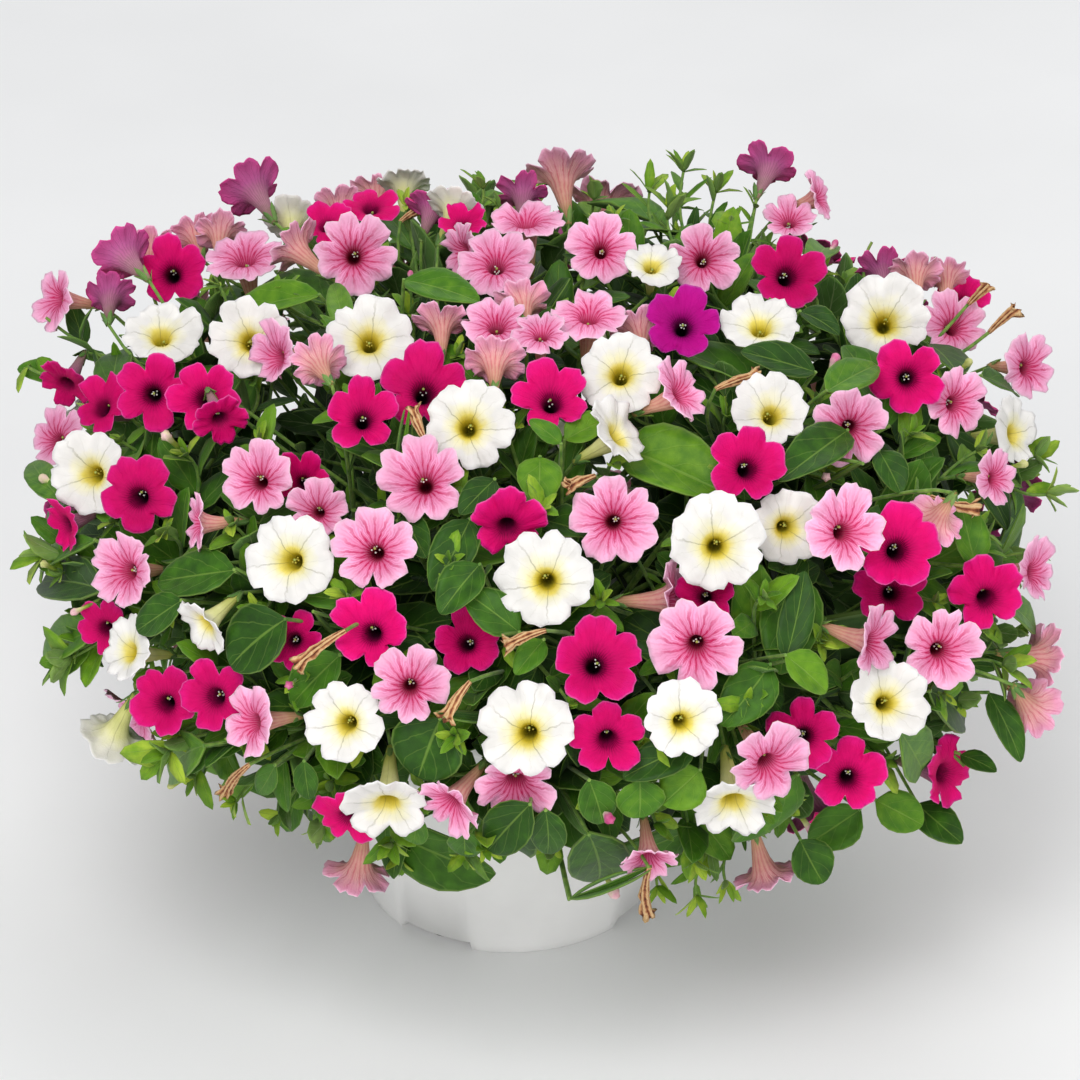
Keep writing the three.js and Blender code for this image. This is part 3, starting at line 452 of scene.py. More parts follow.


# leaf: a soft hairy blade, matt, with a pale midrib and arched side veins; its thin pale edge is a
# painted sheen
def leafMaterial(name, stops, veinColour, edgeSheenColour, veinShare):
    material, tree, shader = newMaterial(name)
    parts = addNode(tree, "SeparateXYZ", addNode(tree, "UVMap", uv_map="blade"))
    u, v = parts.outputs[0], parts.outputs[1]
    place = addNode(tree, "TexCoord").outputs["Object"]
    tint = addNode(tree, "Attribute", attribute_name="tint").outputs["Fac"]
    spots = addNode(tree, "TexNoise", place, sockets={"Scale": 1 / (7 * mm), "Detail": 4.0})
    tone = addNode(tree, "Math", addNode(tree, "Math", spots, 0.5, operation="SUBTRACT"), 0.5,
                   operation="MULTIPLY")
    tone = addNode(tree, "Math", tone, tint, operation="ADD")
    ground = addNode(tree, "ValToRGB", tone, stops=stops)
    side = addNode(tree, "Math", addNode(tree, "Math", u, 0.5, operation="SUBTRACT"),
                   operation="ABSOLUTE")
    wobble = addNode(tree, "TexNoise", place, sockets={"Scale": 1 / (6 * mm), "Detail": 2.0})
    slanted = addNode(tree, "Math", side, -0.7, v, operation="MULTIPLY_ADD")
    slanted = addNode(tree, "Math", wobble, 0.07, slanted, operation="MULTIPLY_ADD")
    counted = addNode(tree, "Math", addNode(tree, "Math", slanted, 5.0, operation="MULTIPLY"),
                      operation="FRACT")
    away = addNode(tree, "Math", addNode(tree, "Math", counted, 0.5, operation="SUBTRACT"),
                   operation="ABSOLUTE")
    vein = addNode(tree, "MapRange", away, 0.015, 0.06, 0.45, 0.0, interpolation_type="SMOOTHSTEP")
    rib = addNode(tree, "MapRange", side, 0.01, 0.03, 1.0, 0.0, interpolation_type="SMOOTHSTEP")
    both = addNode(tree, "Math", vein, rib, operation="MAXIMUM")
    share = addNode(tree, "Math", both, veinShare, operation="MULTIPLY")
    veined = addNode(tree, "Mix", share, ground, linear(veinColour), data_type="RGBA")
    # painted light: the thin pale edge is a painted sheen along the rim of the blade
    edge = addNode(tree, "MapRange", side, 0.46, 0.49, 0.0, 0.4, interpolation_type="SMOOTHSTEP")
    sheenEdged = addNode(tree, "Mix", edge, veined, linear(edgeSheenColour), data_type="RGBA")
    grain = addNode(tree, "TexNoise", place, sockets={"Scale": 1 / (0.8 * mm), "Detail": 2.0})
    height = addNode(tree, "Math", both, -1.5, grain, operation="MULTIPLY_ADD")
    finishShader(tree, shader, sheenEdged, height, 0.15 * mm, Roughness=0.55, Specular_IOR_Level=0.25,
                 Sheen_Weight=0.05)
    return material


petals = {colour: petalMaterial(colour) for colour in petalLooks}
leafTop = leafMaterial("petunia leaf blade", [(0, "#102A06"), (0.3, "#274F08"), (0.55, "#437410"),
                       (0.8, "#6E9A1C"), (1, "#A8C236")], "#86A846", "#8CAA50", 0.4)
leafUnder = leafMaterial("petunia leaf underside", [(0, "#3A5A2A"), (0.5, "#5F8840"),
                         (1, "#93B25C")], "#B0C88A", "#9DBA72", 0.6)


# blooms: a funnel spun from one profile, then each copy gets its own five petals
bloomShape = dict(
    steps=50,
    # radius and height of the profile from the throat's floor, over the rim, to the calyx, both
    # in shares of the bloom's radius
    front=[(0, -1.3), (0.055, -1.25), (0.09, -0.95), (0.13, -0.66), (0.17, -0.44), (0.215, -0.29),
           (0.29, -0.19), (0.41, -0.125), (0.56, -0.08), (0.73, -0.04), (0.89, -0.012), (1, 0)],
    back=[(1, -0.02), (0.89, -0.035), (0.73, -0.068), (0.56, -0.12), (0.42, -0.21), (0.32, -0.36),
          (0.25, -0.58), (0.19, -0.9), (0.145, -1.2), (0.11, -1.48), (0.085, -1.65), (0, -1.67)],
    # per colour: cleft between petals and how sharp it is, dent in a petal's middle (a tip where it
    # is below 0), scallops of the rim, ruffles, and how far the sides of a petal fold back
    white=dict(cleft=0.16, sharp=4.5, dent=0.06, scallop=0.045, ruffle=0.06, fold=0.12),
    pink=dict(cleft=0.3, sharp=4.2, dent=0.09, scallop=0.045, ruffle=0.07, fold=0.16),
    magenta=dict(cleft=0.34, sharp=2.7, dent=0.05, scallop=0.035, ruffle=0.06, fold=0.18),
    # how much petals differ: their lean and length, where their clefts lie, how deep clefts, dents
    # and ruffles are, and how far the limb is cupped
    lean=(-0.16, 0.12), length=(0.9, 1.0), stray=(-0.11, 0.11), clefts=(0.6, 1.35),
    dents=(0.2, 1.6), ruffles=(0.6, 1.5), cup=(-0.08, 0.1), waves=(6, 9, 13, 19), scallops=17,
    # the limb starts at this radius, and the throat lies a little below its middle
    limb=0.22, sunk=(0.03, 0.17), aside=(-0.05, 0.05), groove=0.05, crumple=0.06,
)


def bloomTemplate():
    bm = bmesh.new()
    reach = bm.verts.layers.float.new("reach")
    bm.verts.layers.float.new("tint")
    front, back = bloomShape["front"], bloomShape["back"]
    # 0 at the throat's floor, 1 at the rim and 2 at the calyx
    rim = len(front) - 1
    shares = [i / rim for i in range(len(front))]
    shares += [1 + (i + 1) / len(back) for i in range(len(back))]
    spinProfile(bm, front + back, bloomShape["steps"], 1e-5, reach, shares)
    bmesh.ops.recalc_face_normals(bm, faces=bm.faces)
    petal = bm.loops.layers.uv.new("petal")
    for face in bm.faces:
        centre = face.calc_center_median()
        turn = math.atan2(centre.y, centre.x)
        for loop in face.loops:
            x, y = loop.vert.co.xy
            # U runs once across each petal, and a pole takes the angle of its face
            away = math.atan2(y, x) - turn if math.hypot(x, y) > 1e-4 else 0
            away = (away + math.pi) % tau - math.pi
            loop[petal].uv = (5 * ((turn + away) / tau + 1), loop.vert[reach])
    return bm


def shapeBloom(verts, flower, colour, draw):
    shape, look = bloomShape, bloomShape[colour]
    tilts = [draw.uniform(*shape["lean"]) for i in range(5)]
    lengths = [draw.uniform(*shape["length"]) for i in range(5)]
    shifts = [draw.uniform(*shape["stray"]) for i in range(5)]
    clefts = [look["cleft"] * draw.uniform(*shape["clefts"]) for i in range(5)]
    dents = [look["dent"] * draw.uniform(*shape["dents"]) for i in range(5)]
    cup = draw.uniform(*shape["cup"])
    ruffle = look["ruffle"] * draw.uniform(*shape["ruffles"])
    waves = [(k, draw.uniform(0.4, 1), draw.uniform(0, tau)) for k in shape["waves"]]
    place = flower["place"]
    radius = flower["radius"]
    seed = Vector((draw.uniform(0, 90), draw.uniform(0, 90), 0))
    sunk = (place.to_3x3().inverted() @ upward).to_2d() * -draw.uniform(*shape["sunk"])
    sunk += Vector((draw.uniform(*shape["aside"]), draw.uniform(*shape["aside"])))
    for vert in verts:
        x, y, z = vert.co
        out = math.hypot(x, y)
        shift = sunk * smooth(-1.6, -0.5, z) * (1 - smooth(0.2, 1.0, out))
        if out > shape["limb"]:
            angle = math.atan2(y, x)
            turn = 5 * angle / tau + 0.5
            petal = math.floor(turn) % 5
            share = turn - math.floor(turn)
            across = abs(2 * share - 1)
            onLimb = smooth(0.25, 1.0, out)
            # a petal lies between cleft number petal - 1 and cleft number petal
            beside = (petal + (1 if share > 0.5 else -1)) % 5
            cleft = clefts[petal if share > 0.5 else petal - 1]
            length = mix(lengths[petal], (lengths[petal] + lengths[beside]) / 2, across ** 2)
            outline = length - cleft * across ** look["sharp"]
            outline -= dents[petal] * max(1 - 2 * across, 0) ** 1.3
            angle += smooth(shape["limb"], 0.5, out) * mix(shifts[petal - 1], shifts[petal], share)
            spoke = Vector((math.cos(angle), math.sin(angle), 0))
            outline += look["scallop"] * noise.noise(seed + spoke * 7)
            outline += look["scallop"] * 0.4 * math.sin(shape["scallops"] * angle + seed.x)
            out *= 1 - onLimb * (1 - outline)
            wave = sum(size * math.sin(k * angle + start) for k, size, start in waves)
            z += onLimb * (tilts[petal] * (1 - across ** 2) - look["fold"] * across ** 3 + cup * out)
            z -= shape["groove"] * onLimb * max(1 - 5 * across, 0)
            z += onLimb ** 2 * ruffle * wave / 1.8
            z += shape["crumple"] * onLimb * noise.noise(seed + Vector((x, y, 1)) * 2.4)
            x, y = out * math.cos(angle), out * math.sin(angle)
        vert.co = place @ (Vector((x + shift.x, y + shift.y, z)) * radius)


# one magenta bloom near the top has turned violet, which petalMaterial does where the tint is 2
violet = dict(place=seenPoint(76, 116), reach=15 * mm, tint=2)


def buildBlooms(template, name, colour, material):
    bm = template.copy()
    model = bm.verts[:] + bm.edges[:] + bm.faces[:]
    tint = bm.verts.layers.float["tint"]
    for i, flower in enumerate(shoots[name]["flowers"]):
        draw = random.Random(f"{name} {i}")
        made = bmesh.ops.duplicate(bm, geom=model)["geom"]
        verts = [item for item in made if isinstance(item, bmesh.types.BMVert)]
        shapeBloom(verts, flower, colour, draw)
        isViolet = (flower["centre"] - violet["place"]).length < violet["reach"]
        shade = violet["tint"] if isViolet else draw.random()
        for vert in verts:
            vert[tint] = shade
    bmesh.ops.delete(bm, geom=[item for item in model if isinstance(item, bmesh.types.BMVert)],
                     context="VERTS")
    return newPiece(name.replace("spray", "blooms"), bm, [material], colour + "_petal", name)


# leaves: a narrow-footed oval, cupped along its rib, of which every copy bends its own way
leafShape = dict(thickness=0.016, cupping=0.12, arch=0.12, groove=0.03,
                 # where its belly lies, how full its sides are, and how it narrows to its foot
                 belly=0.82, fullness=0.6, foot=(-0.12, 0.16), least=0.025,
                 # how much leaves differ
                 twists=(-0.3, 0.3), arches=(-0.05, 0.1), cuppings=(0.3, 1.8), bends=(-0.1, 0.1),
                 waves=9)


def leafTemplate(columns, rows):
    bm = bmesh.new()
    bmesh.ops.create_grid(bm, x_segments=columns, y_segments=rows, size=0.5, calc_uvs=False)
    blade = bm.loops.layers.uv.new("blade")
    for face in bm.faces:
        for loop in face.loops:
            loop[blade].uv = (loop.vert.co.x + 0.5, loop.vert.co.y + 0.5)
    for vert in bm.verts:
        share = (1 - math.cos(math.pi * (vert.co.y + 0.5))) / 2
        full = max(math.sin(math.pi * share ** leafShape["belly"]), 0) ** leafShape["fullness"]
        vert.co.x *= full * smooth(*leafShape["foot"], share) + leafShape["least"]
        vert.co.y = share
    bmesh.ops.recalc_face_normals(bm, faces=bm.faces)
    bmesh.ops.solidify(bm, geom=bm.faces[:], thickness=leafShape["thickness"])
    bmesh.ops.recalc_face_normals(bm, faces=bm.faces)
    bm.normal_update()
    for face in bm.faces:
        face.material_index = 1 if face.normal.z < -0.5 else 0
    return bm


def addLeaf(bm, model, base, tip, above, width, shade, draw, ruffle=0.03):
    tint = bm.verts.layers.float["tint"]
    made = bmesh.ops.duplicate(bm, geom=model)["geom"]
    chord = tip - base
    length = chord.length
    flat = above - chord * (above.dot(chord) / chord.length_squared)
    place = axesFrame(base, flat, chord.cross(flat))
    twist = draw.uniform(*leafShape["twists"])
    arch = leafShape["arch"] + draw.uniform(*leafShape["arches"])
    cupping = leafShape["cupping"] * draw.uniform(*leafShape["cuppings"])
    bend = draw.uniform(*leafShape["bends"])
    start = draw.uniform(0, tau)
    for item in made:
        if isinstance(item, bmesh.types.BMVert):
            x, y, z = item.co
            side = 2 * abs(x)
            rise = width * (cupping * side ** 1.5 - leafShape["groove"] * (1 - side) ** 4)
            rise += length * (z + arch * y * (1 - y)) + twist * x * width * y
            rise += ruffle * width * side * math.sin(leafShape["waves"] * y + start + 2 * x)
            sway = bend * length * y * (1 - y)
            item.co = place @ Vector((x * width + sway, y * length, rise))
            item[tint] = shade


# stems: round tubes along smooth lines, thinner towards the tip
stemShape = dict(foot=2.3 * mm, tip=1.5 * mm, stalkRoot=1.15 * mm, stalkTop=0.95 * mm,
                 stalkBow=20 * mm, stalkPoints=9)


def addTubes(bm, lines, shade):
    curve = bpy.data.curves.new("tubes", "CURVE")
    curve.dimensions = "3D"
    curve.bevel_depth = 1
    curve.bevel_resolution = 1
    curve.use_fill_caps = True
    for points, first, last in lines:
        spline = curve.splines.new("POLY")
        spline.points.add(len(points) - 1)
        for i, point in enumerate(points):
            spline.points[i].co = (*point, 1)
            spline.points[i].radius = mix(first, last, i / (len(points) - 1))
    holder = bpy.data.objects.new("tubes", curve)
    mesh = bpy.data.meshes.new_from_object(holder)
    old = set(bm.verts)
    bm.from_mesh(mesh)
    tint = bm.verts.layers.float["tint"]
    for vert in bm.verts:
        if vert not in old:
            vert[tint] = shade
    bpy.data.objects.remove(holder)
    bpy.data.curves.remove(curve)
    bpy.data.meshes.remove(mesh)


def stalkLine(anchor, heading, bends, root):
    # leaves along the head's own axis and bends over to its stem, in a smaller bow than the solid's
    span = (root - anchor).length
    lead = mix(anchor, root, 0.5)
    if bends:
        bow = bends[0] - lead
        lead += bow * min(1, stemShape["stalkBow"] / bow.length)
    out = mix(lead, anchor - heading * span * 0.4, 0.5)
    return interpolate_bezier(anchor, out, mix(root, lead, 0.6), root, stemShape["stalkPoints"])


def stalksOf(shoot):
    # the main stem, then the stalk of each head, with the radii of both ends
    stalks = []
    for flower in shoot["flowers"]:
        flower["line"] = stalkLine(flower["anchor"], flower["heading"], flower["bends"],
                                   flower["root"])
        stalks.append(flower["line"])
    for leaf in shoot["leaves"]:
        chord = leaf["tip"] - leaf["base"]
        stalks.append(stalkLine(leaf["base"], chord, leaf["bends"], leaf["root"]))
    for roll in shoot["withered"]:
        heading = (roll["tip"] - roll["base"]).normalized()
        stalks.append(stalkLine(roll["base"], heading, roll["bends"], roll["root"]))
    lines = [(shoot["trunk"], stemShape["foot"], stemShape["tip"])]
    lines += [(line, stemShape["stalkTop"], stemShape["stalkRoot"]) for line in stalks]
    return lines


# room for more leaves: nothing may stand in a bloom or in front of its face. Heights along the
# bloom's axis and widths round it are shares of its radius.
bloomRoom = dict(reach=55 * mm, front=1.1, face=0.95, limb=(-0.5, 0.1), rim=1.08, tubeFoot=-1.7,
                 tube=0.5, taper=0.25, viewReach=70 * mm, facing=-0.15, covered=0.82)
# where a leaf is tested: along its rib, and at its sides, as far out as a share of its half width
leafTests = dict(rib=(0.3, 0.6, 1.0), lift=0.03, halfWidth=0.42, sides=((0.45, 1), (0.8, 0.7)),
                 packedCovered=0.75, packedHides=2)

bloomTree = KDTree(len(flowers))
for i, flower in enumerate(flowers):
    bloomTree.insert(flower["centre"], i)
    flower["inverse"] = flower["place"].inverted()
bloomTree.balance()


def isFree(point):
    low, high = bloomRoom["limb"]
    for centre, i, gap in bloomTree.find_range(point, bloomRoom["reach"]):
        flower = flowers[i]
        x, y, z = (flower["inverse"] @ point) / flower["radius"]
        limit = 0
        if low < z <= high:
            limit = bloomRoom["rim"] + z
        elif bloomRoom["tubeFoot"] < z <= low:
            limit = bloomRoom["tube"] + (z - low) * bloomRoom["taper"]
        elif high < z < bloomRoom["front"]:
            limit = bloomRoom["face"]
        if math.hypot(x, y) < limit:
            return False
    return True


def hidesBloom(point, share=bloomRoom["covered"]):
    # whether it would stand before a bloom that looks to the front
    for centre, i, gap in bloomTree.find_range(point, bloomRoom["viewReach"]):
        if flowers[i]["heading"].dot(viewAlong) < bloomRoom["facing"]:
            way = point - centre
            nearer = -way.dot(viewAlong)
            if nearer > 0 and (way + viewAlong * nearer).length < share * flowers[i]["radius"]:
                return True
    return False


def leafPoints(base, tip, above, width):
    across = (tip - base).cross(above).normalized() * width * leafTests["halfWidth"]
    lift = above * (base - tip).length * leafTests["lift"]
    points = [mix(base, tip, share) + lift for share in leafTests["rib"]]
    for share, out in leafTests["sides"]:
        points += [mix(base, tip, share) + across * out, mix(base, tip, share) - across * out]
    return points


def leafIsFree(*leaf):
    return all(isFree(point) and not hidesBloom(point) for point in leafPoints(*leaf))


# a packed leaf that would hide much of a bloom that looks to the front is left out
dropped = 0
for shoot in shoots.values():
    kept = []
    for leaf in shoot["leaves"]:
        points = leafPoints(leaf["base"], leaf["tip"], leaf["above"], leaf["width"])
        hiding = sum(hidesBloom(point, leafTests["packedCovered"]) for point in points)
        if hiding < leafTests["packedHides"]:
            kept.append(leaf)
    dropped += len(shoot["leaves"]) - len(kept)
    shoot["leaves"] = kept
print(dropped, "leaves left out")


# side shoots: thin stems from the main ones out to the skin, with leaves in a spiral
sideShoots = dict(
    count=240, lowest=100 * mm, depth=(4 * mm, 30 * mm), tries=12, stray=(-2, 2), sway=4 * mm,
    # how much a way from a main stem costs that turns off, or that is shorter than this length
    straight=2.2, shortCost=9, short=45 * mm, rising=0.3,
    stem=(1.3 * mm, 0.8 * mm), points=25, step=8.5 * mm, leafyLength=105 * mm,
    leafLength=(27 * mm, 46 * mm), leafWidth=0.58, widths=(0.85, 1.15), leafTries=7,
    # towards its tip a shoot is young: its leaves are shorter, slimmer and brighter
    youngLength=34 * mm, youngLong=0.55, youngWide=0.75, rosette=5, rosetteLeaf=14 * mm,
    budShare=0.3, limit=1.02, sprigLimit=1.12)


def skinTargets(count):
    # spots spread over the skin, each given to the main stem from which a shoot reaches it best
    draw = random.Random(11)
    found = {name: [] for name in shoots if name.startswith("leafy")}
    starts = [(name, point) for name in found for point in shoots[name]["trunk"][6:]]
    for i in range(count):
        height = 1 - 2 * (i + 0.5) / count
        flat = math.sqrt(1 - height * height)
        turn = i * goldenTurn
        share = Vector((flat * math.cos(turn), flat * math.sin(turn), height))
        place = mound["centre"] + Vector(share[k] * mound["radii"][k] for k in range(3))
        outward = outwardAt(place)
        for attempt in range(sideShoots["tries"]):
            target = place - outward * draw.uniform(*sideShoots["depth"])
            target += Vector(draw.uniform(*sideShoots["stray"]) for k in range(3)) * mm * attempt
            if isFree(target):
                break
        if place.z < sideShoots["lowest"]:
            continue
        wish = mix(outward, upward, sideShoots["rising"]).normalized()

        def cost(item):
            way = target - item[1]
            tooShort = max(sideShoots["short"] - way.length, 0)
            turned = sideShoots["straight"] - way.normalized().dot(wish)
            return way.length * turned + sideShoots["shortCost"] * tooShort

        name, start = min(starts, key=cost)
        found[name].append((target, start))
    return found


# buds: each on a stalk of its own at the tip of a shoot, the longest of three that is free
budShape = dict(
    stalks=(14, 10, 6), stalkWidth=(0.9 * mm, 0.8 * mm), sunk=0.6, lean=(-0.6, 0.6), size=(9, 19),
    limit=1.03, steps=15, pleats=5, pleatDepth=0.2, twist=1.4,
    # radius and height in shares of its length
    profile=[(0, 0), (0.055, 0), (0.08, 0.12), (0.075, 0.4), (0.11, 0.66), (0.15, 0.8),
             (0.12, 0.93), (0.05, 1), (0, 1.01)])
buds = []


def addBudStalk(tubes, start, outward, draw):
    lean = Vector(draw.uniform(*budShape["lean"]) for k in range(3))
    way = (outward + lean).normalized()
    for length in budShape["stalks"]:
        foot = start + way * length * mm
        size = draw.uniform(*budShape["size"]) * mm
        end = foot + way * size
        if isFree(end) and not hidesBloom(end) and inMound(end) < budShape["limit"]:
            line = [start, mix(start, foot, 0.5) + upward * mm, foot]
            tubes.append((line, *budShape["stalkWidth"]))
            buds.append((foot - way * budShape["sunk"] * mm, way, size))
            return


# sprigs that stand out of the outline or hang below it: their tips in the front view, in
# millimetres, and the length and width of their leaves
sprigs = [(58, 184, 19, 6), (76, 195, 20, 6), (93, 184, 18, 6), (68, 176, 20, 7),
          (176, 158, 15, 4.5), (114, 176, 15, 5), (140, 176, 16, 5), (268, 24, 17, 7),
          (262, 44, 18, 8), (-272, 92, 22, 9), (-262, 118, 22, 9), (83, -188, 17, 4.5),
          (98, -180, 15, 4), (62, -183, 16, 5),
          (-30, 186, 15, 5), (210, 150, 14, 5), (238, 132, 16, 5), (-262, -8, 24, 12),
          (-248, -62, 26, 14), (225, -120, 26, 14), (-196, -112, 24, 12), (245, -66, 22, 10)]


def addSprigs(targets):
    starts = [(name, point) for name in targets for point in shoots[name]["trunk"][4:]]
    for right, above, length, width in sprigs:
        target = seenPoint(right, above, 6 * mm)
        name, start = min(starts, key=lambda item: (item[1] - target).length)
        targets[name].append((target, start, length * mm, width / length))


def sideShootLine(target, start, outward, draw):
    # a stem that would cross a bloom's face takes another way
    span = (target - start).length
    for attempt in range(sideShoots["tries"]):
        sway = Vector(draw.uniform(-1, 1) for k in range(3)) * sideShoots["sway"] * attempt
        lead = mix(start, target, 0.4) + mix(outward, upward, 0.5) * span * 0.12 + sway
        line = interpolate_bezier(start, lead, target - outward * span * 0.3, target,
                                  sideShoots["points"])
        if not any(hidesBloom(point) for point in line[6:]):
            return line
    return None


def planLeaves(line, target, outward, draw, leafLength):
    # foot, way, length and youth of leaves in a spiral up the stem and a rosette at its tip
    planned = []
    travelled = 0
    spin = draw.uniform(0, tau)
    for before, here in zip(line, line[1:]):
        travelled += (here - before).length
        away = (target - here).length
        if travelled > sideShoots["step"] and away < sideShoots["leafyLength"]:
            travelled = 0
            spin += goldenTurn
            along = (here - before).normalized()
            spoke = Vector((math.cos(spin), math.sin(spin), 0))
            side = axesFrame(Vector(), along, upward).to_3x3() @ spoke
            young = 1 - min(away / sideShoots["youngLength"], 1)
            length = draw.uniform(*sideShoots["leafLength"]) * mix(1, sideShoots["youngLong"], young)
            if leafLength:
                length = leafLength * draw.uniform(0.8, 1.2)
            way = mix(side, along, draw.uniform(0.3, 0.6)) + outward * 0.15
            planned.append((here, way.normalized(), length, young))
    for k in range(sideShoots["rosette"]):
        spin += goldenTurn
        spoke = Vector((math.cos(spin), math.sin(spin), 0))
        side = axesFrame(Vector(), outward, upward).to_3x3() @ spoke
        way = mix(side, outward, 0.25 + 0.12 * k)
        length = (leafLength or sideShoots["rosetteLeaf"]) * draw.uniform(0.65, 1)
        planned.append((target, way.normalized(), length, 1))
    return planned


def addSideShoot(bm, medium, small, tubes, draw, target, start, leafLength=None, leafWidth=None):
    outward = outwardAt(target)
    line = sideShootLine(target, start, outward, draw)
    if not line:
        return 0
    tubes.append((line, *sideShoots["stem"]))
    planned = planLeaves(line, target, outward, draw, leafLength)
    if draw.random() < sideShoots["budShare"]:
        addBudStalk(tubes, target, outward, draw)
    limit = sideShoots["sprigLimit"] if leafLength else sideShoots["limit"]
    grown = 0
    for base, way, length, young in planned:
        for attempt in range(sideShoots["leafTries"]):
            above = mix(outward, upward, draw.uniform(0.1, 0.6)).normalized()
            tip = base + way * length
            width = length * (leafWidth or sideShoots["leafWidth"])
            width *= draw.uniform(*sideShoots["widths"])
            if leafWidth is None:
                width *= mix(1, sideShoots["youngWide"], young)
            if inMound(tip) < limit and leafIsFree(base, tip, above, width):
                # painted shade: leaves inside the plant are painted darker, where shade falls
                sunk = smooth(0.95, 0.6, inMound(tip)) if inMound(tip) < 0.95 else 0
                tone = mix(draw.uniform(0.2, 0.65), draw.uniform(0.65, 1), young)
                tone *= mix(1, 0.15, sunk)
                addLeaf(bm, small if young > 0.8 else medium, base, tip, above, width, tone, draw)
                grown += 1
                break
            way = (way + Vector(draw.uniform(-0.6, 0.6) for k in range(3))).normalized()
            length *= 0.9
    return grown


# pairs of leaves up a main stem, which fill the inside of the plant, painted dark as painted shade
trunkLeaves = dict(first=3, lean=(0.2, 0.6), length=(32, 50), facing=(0.3, 0.7), limit=0.99,
                   tone=(0.02, 0.3))


def addTrunkLeaves(bm, model, trunk, draw):
    spin = draw.uniform(0, tau)
    first = trunkLeaves["first"]
    for here, after in zip(trunk[first:], trunk[first + 1:]):
        along = (after - here).normalized()
        turned = axesFrame(Vector(), along, upward).to_3x3()
        spin += goldenTurn
        for angle in (spin, spin + math.pi):
            side = turned @ Vector((math.cos(angle), math.sin(angle), 0))
            way = (side + along * draw.uniform(*trunkLeaves["lean"])).normalized()
            length = draw.uniform(*trunkLeaves["length"]) * mm
            facing = draw.uniform(*trunkLeaves["facing"])
            above = mix(outwardAt(here), upward, facing).normalized()
            tip = here + way * length
            width = length * sideShoots["leafWidth"]
            if inMound(tip) < trunkLeaves["limit"] and leafIsFree(here, tip, above, width):
                # painted shade: the dark tone stands for the shade inside the plant
                tone = draw.uniform(*trunkLeaves["tone"])
                addLeaf(bm, model, here, tip, above, width, tone, draw)


# stem: green plant tissue with short hairs, matt, streaked in lighter and darker green
def stemMaterial():
    material, tree, shader = newMaterial("petunia stem")
    place = addNode(tree, "TexCoord").outputs["Object"]
    streaks = addNode(tree, "TexNoise", place, sockets={"Scale": 1 / (4 * mm), "Detail": 3.0})
    ground = addNode(tree, "ValToRGB", streaks, stops=[(0.3, "#4E7A2A"), (0.7, "#86A548")])
    height = addNode(tree, "TexNoise", place, sockets={"Scale": 1 / (0.7 * mm), "Detail": 1.0})
    finishShader(tree, shader, ground, height, 0.15 * mm, Roughness=0.6, Specular_IOR_Level=0.3,
                 Sheen_Weight=0.15)
    return material


# withered flower: dry papery tissue, creased lengthwise, straw to brown with a wine-red rest,
# painted darker in the hollows of its creases as painted shade and paler on their ridges as painted
# light
def witheredMaterial():
    material, tree, shader = newMaterial("withered petal")
    place = addNode(tree, "TexCoord").outputs["Object"]
    creaseShade = addNode(tree, "Attribute", attribute_name="tint").outputs["Fac"]
    spots = addNode(tree, "TexNoise", place, sockets={"Scale": 1 / (3 * mm), "Detail": 4.0})
    spots = addNode(tree, "MapRange", spots, 0.3, 0.7, -0.22, 0.22)
    ground = addNode(tree, "ValToRGB", addNode(tree, "Math", creaseShade, spots), stops=[
        (0.05, "#4A2A1C"), (0.3, "#8A5038"), (0.55, "#C08A5C"), (0.8, "#DDBB8C"), (1, "#C8A06E")])
    height = addNode(tree, "TexNoise", place, sockets={"Scale": 1 / (1.1 * mm), "Detail": 3.0})
    finishShader(tree, shader, ground, height, 0.4 * mm, Roughness=0.75, Specular_IOR_Level=0.15)
    return material


# anthers and stigma: pollen-dusted knobs
def stamenMaterial():
    material, tree, shader = newMaterial("pollen on stamens")
    place = addNode(tree, "TexCoord").outputs["Object"]
    tint = addNode(tree, "Attribute", attribute_name="tint").outputs["Fac"]
    ground = addNode(tree, "ValToRGB", tint,
                     stops=[(0, "#C9B23A"), (0.5, "#A8B45A"), (1, "#E3E6DC")])
    grains = addNode(tree, "TexNoise", place, sockets={"Scale": 1 / (0.4 * mm), "Detail": 2.0})
    value = addNode(tree, "MapRange", grains, 0.3, 0.7, 0.8, 1.1)
    dusted = addNode(tree, "HueSaturation", 0.5, 1.0, value, 1.0, ground)
    finishShader(tree, shader, dusted, grains, 0.1 * mm, Roughness=0.8)
    return material


# pot: injection-moulded white polypropylene, matt, with a faint cloudiness and grain
def potMaterial():
    material, tree, shader = newMaterial("moulded polypropylene")
    place = addNode(tree, "TexCoord").outputs["Object"]
    clouds = addNode(tree, "TexNoise", place, sockets={"Scale": 1 / (40 * mm), "Detail": 3.0})
    ground = addNode(tree, "ValToRGB", clouds, stops=[(0.3, "#EFEEEC"), (0.7, "#F6F5F3")])
    grain = addNode(tree, "TexNoise", place, sockets={"Scale": 1 / (0.8 * mm), "Detail": 2.0})
    finishShader(tree, shader, ground, grain, 0.03 * mm, Roughness=0.48, Specular_IOR_Level=0.45)
    return material


# potting mix: peat crumbs with pale perlite
def mixMaterial():
    material, tree, shader = newMaterial("peat potting mix")
    place = addNode(tree, "TexCoord").outputs["Object"]
    crumbs = addNode(tree, "TexNoise", place, sockets={"Scale": 1 / (3 * mm), "Detail": 6.0})
    ground = addNode(tree, "ValToRGB", crumbs,
                     stops=[(0.3, "#120C08"), (0.55, "#2C2018"), (0.8, "#4A3828")])
    cells = addNode(tree, "TexVoronoi", place, sockets={"Scale": 1 / (7 * mm)})
    grit = addNode(tree, "MapRange", cells, 0.16, 0.2, 1.0, 0.0)
    gritty = addNode(tree, "Mix", grit, ground, linear("#CFC9BD"), data_type="RGBA")
    height = addNode(tree, "Math", crumbs, grit, operation="ADD")
    finishShader(tree, shader, gritty, height, 2 * mm, Roughness=0.95, Specular_IOR_Level=0.1)
    return material


stemGreen = stemMaterial()


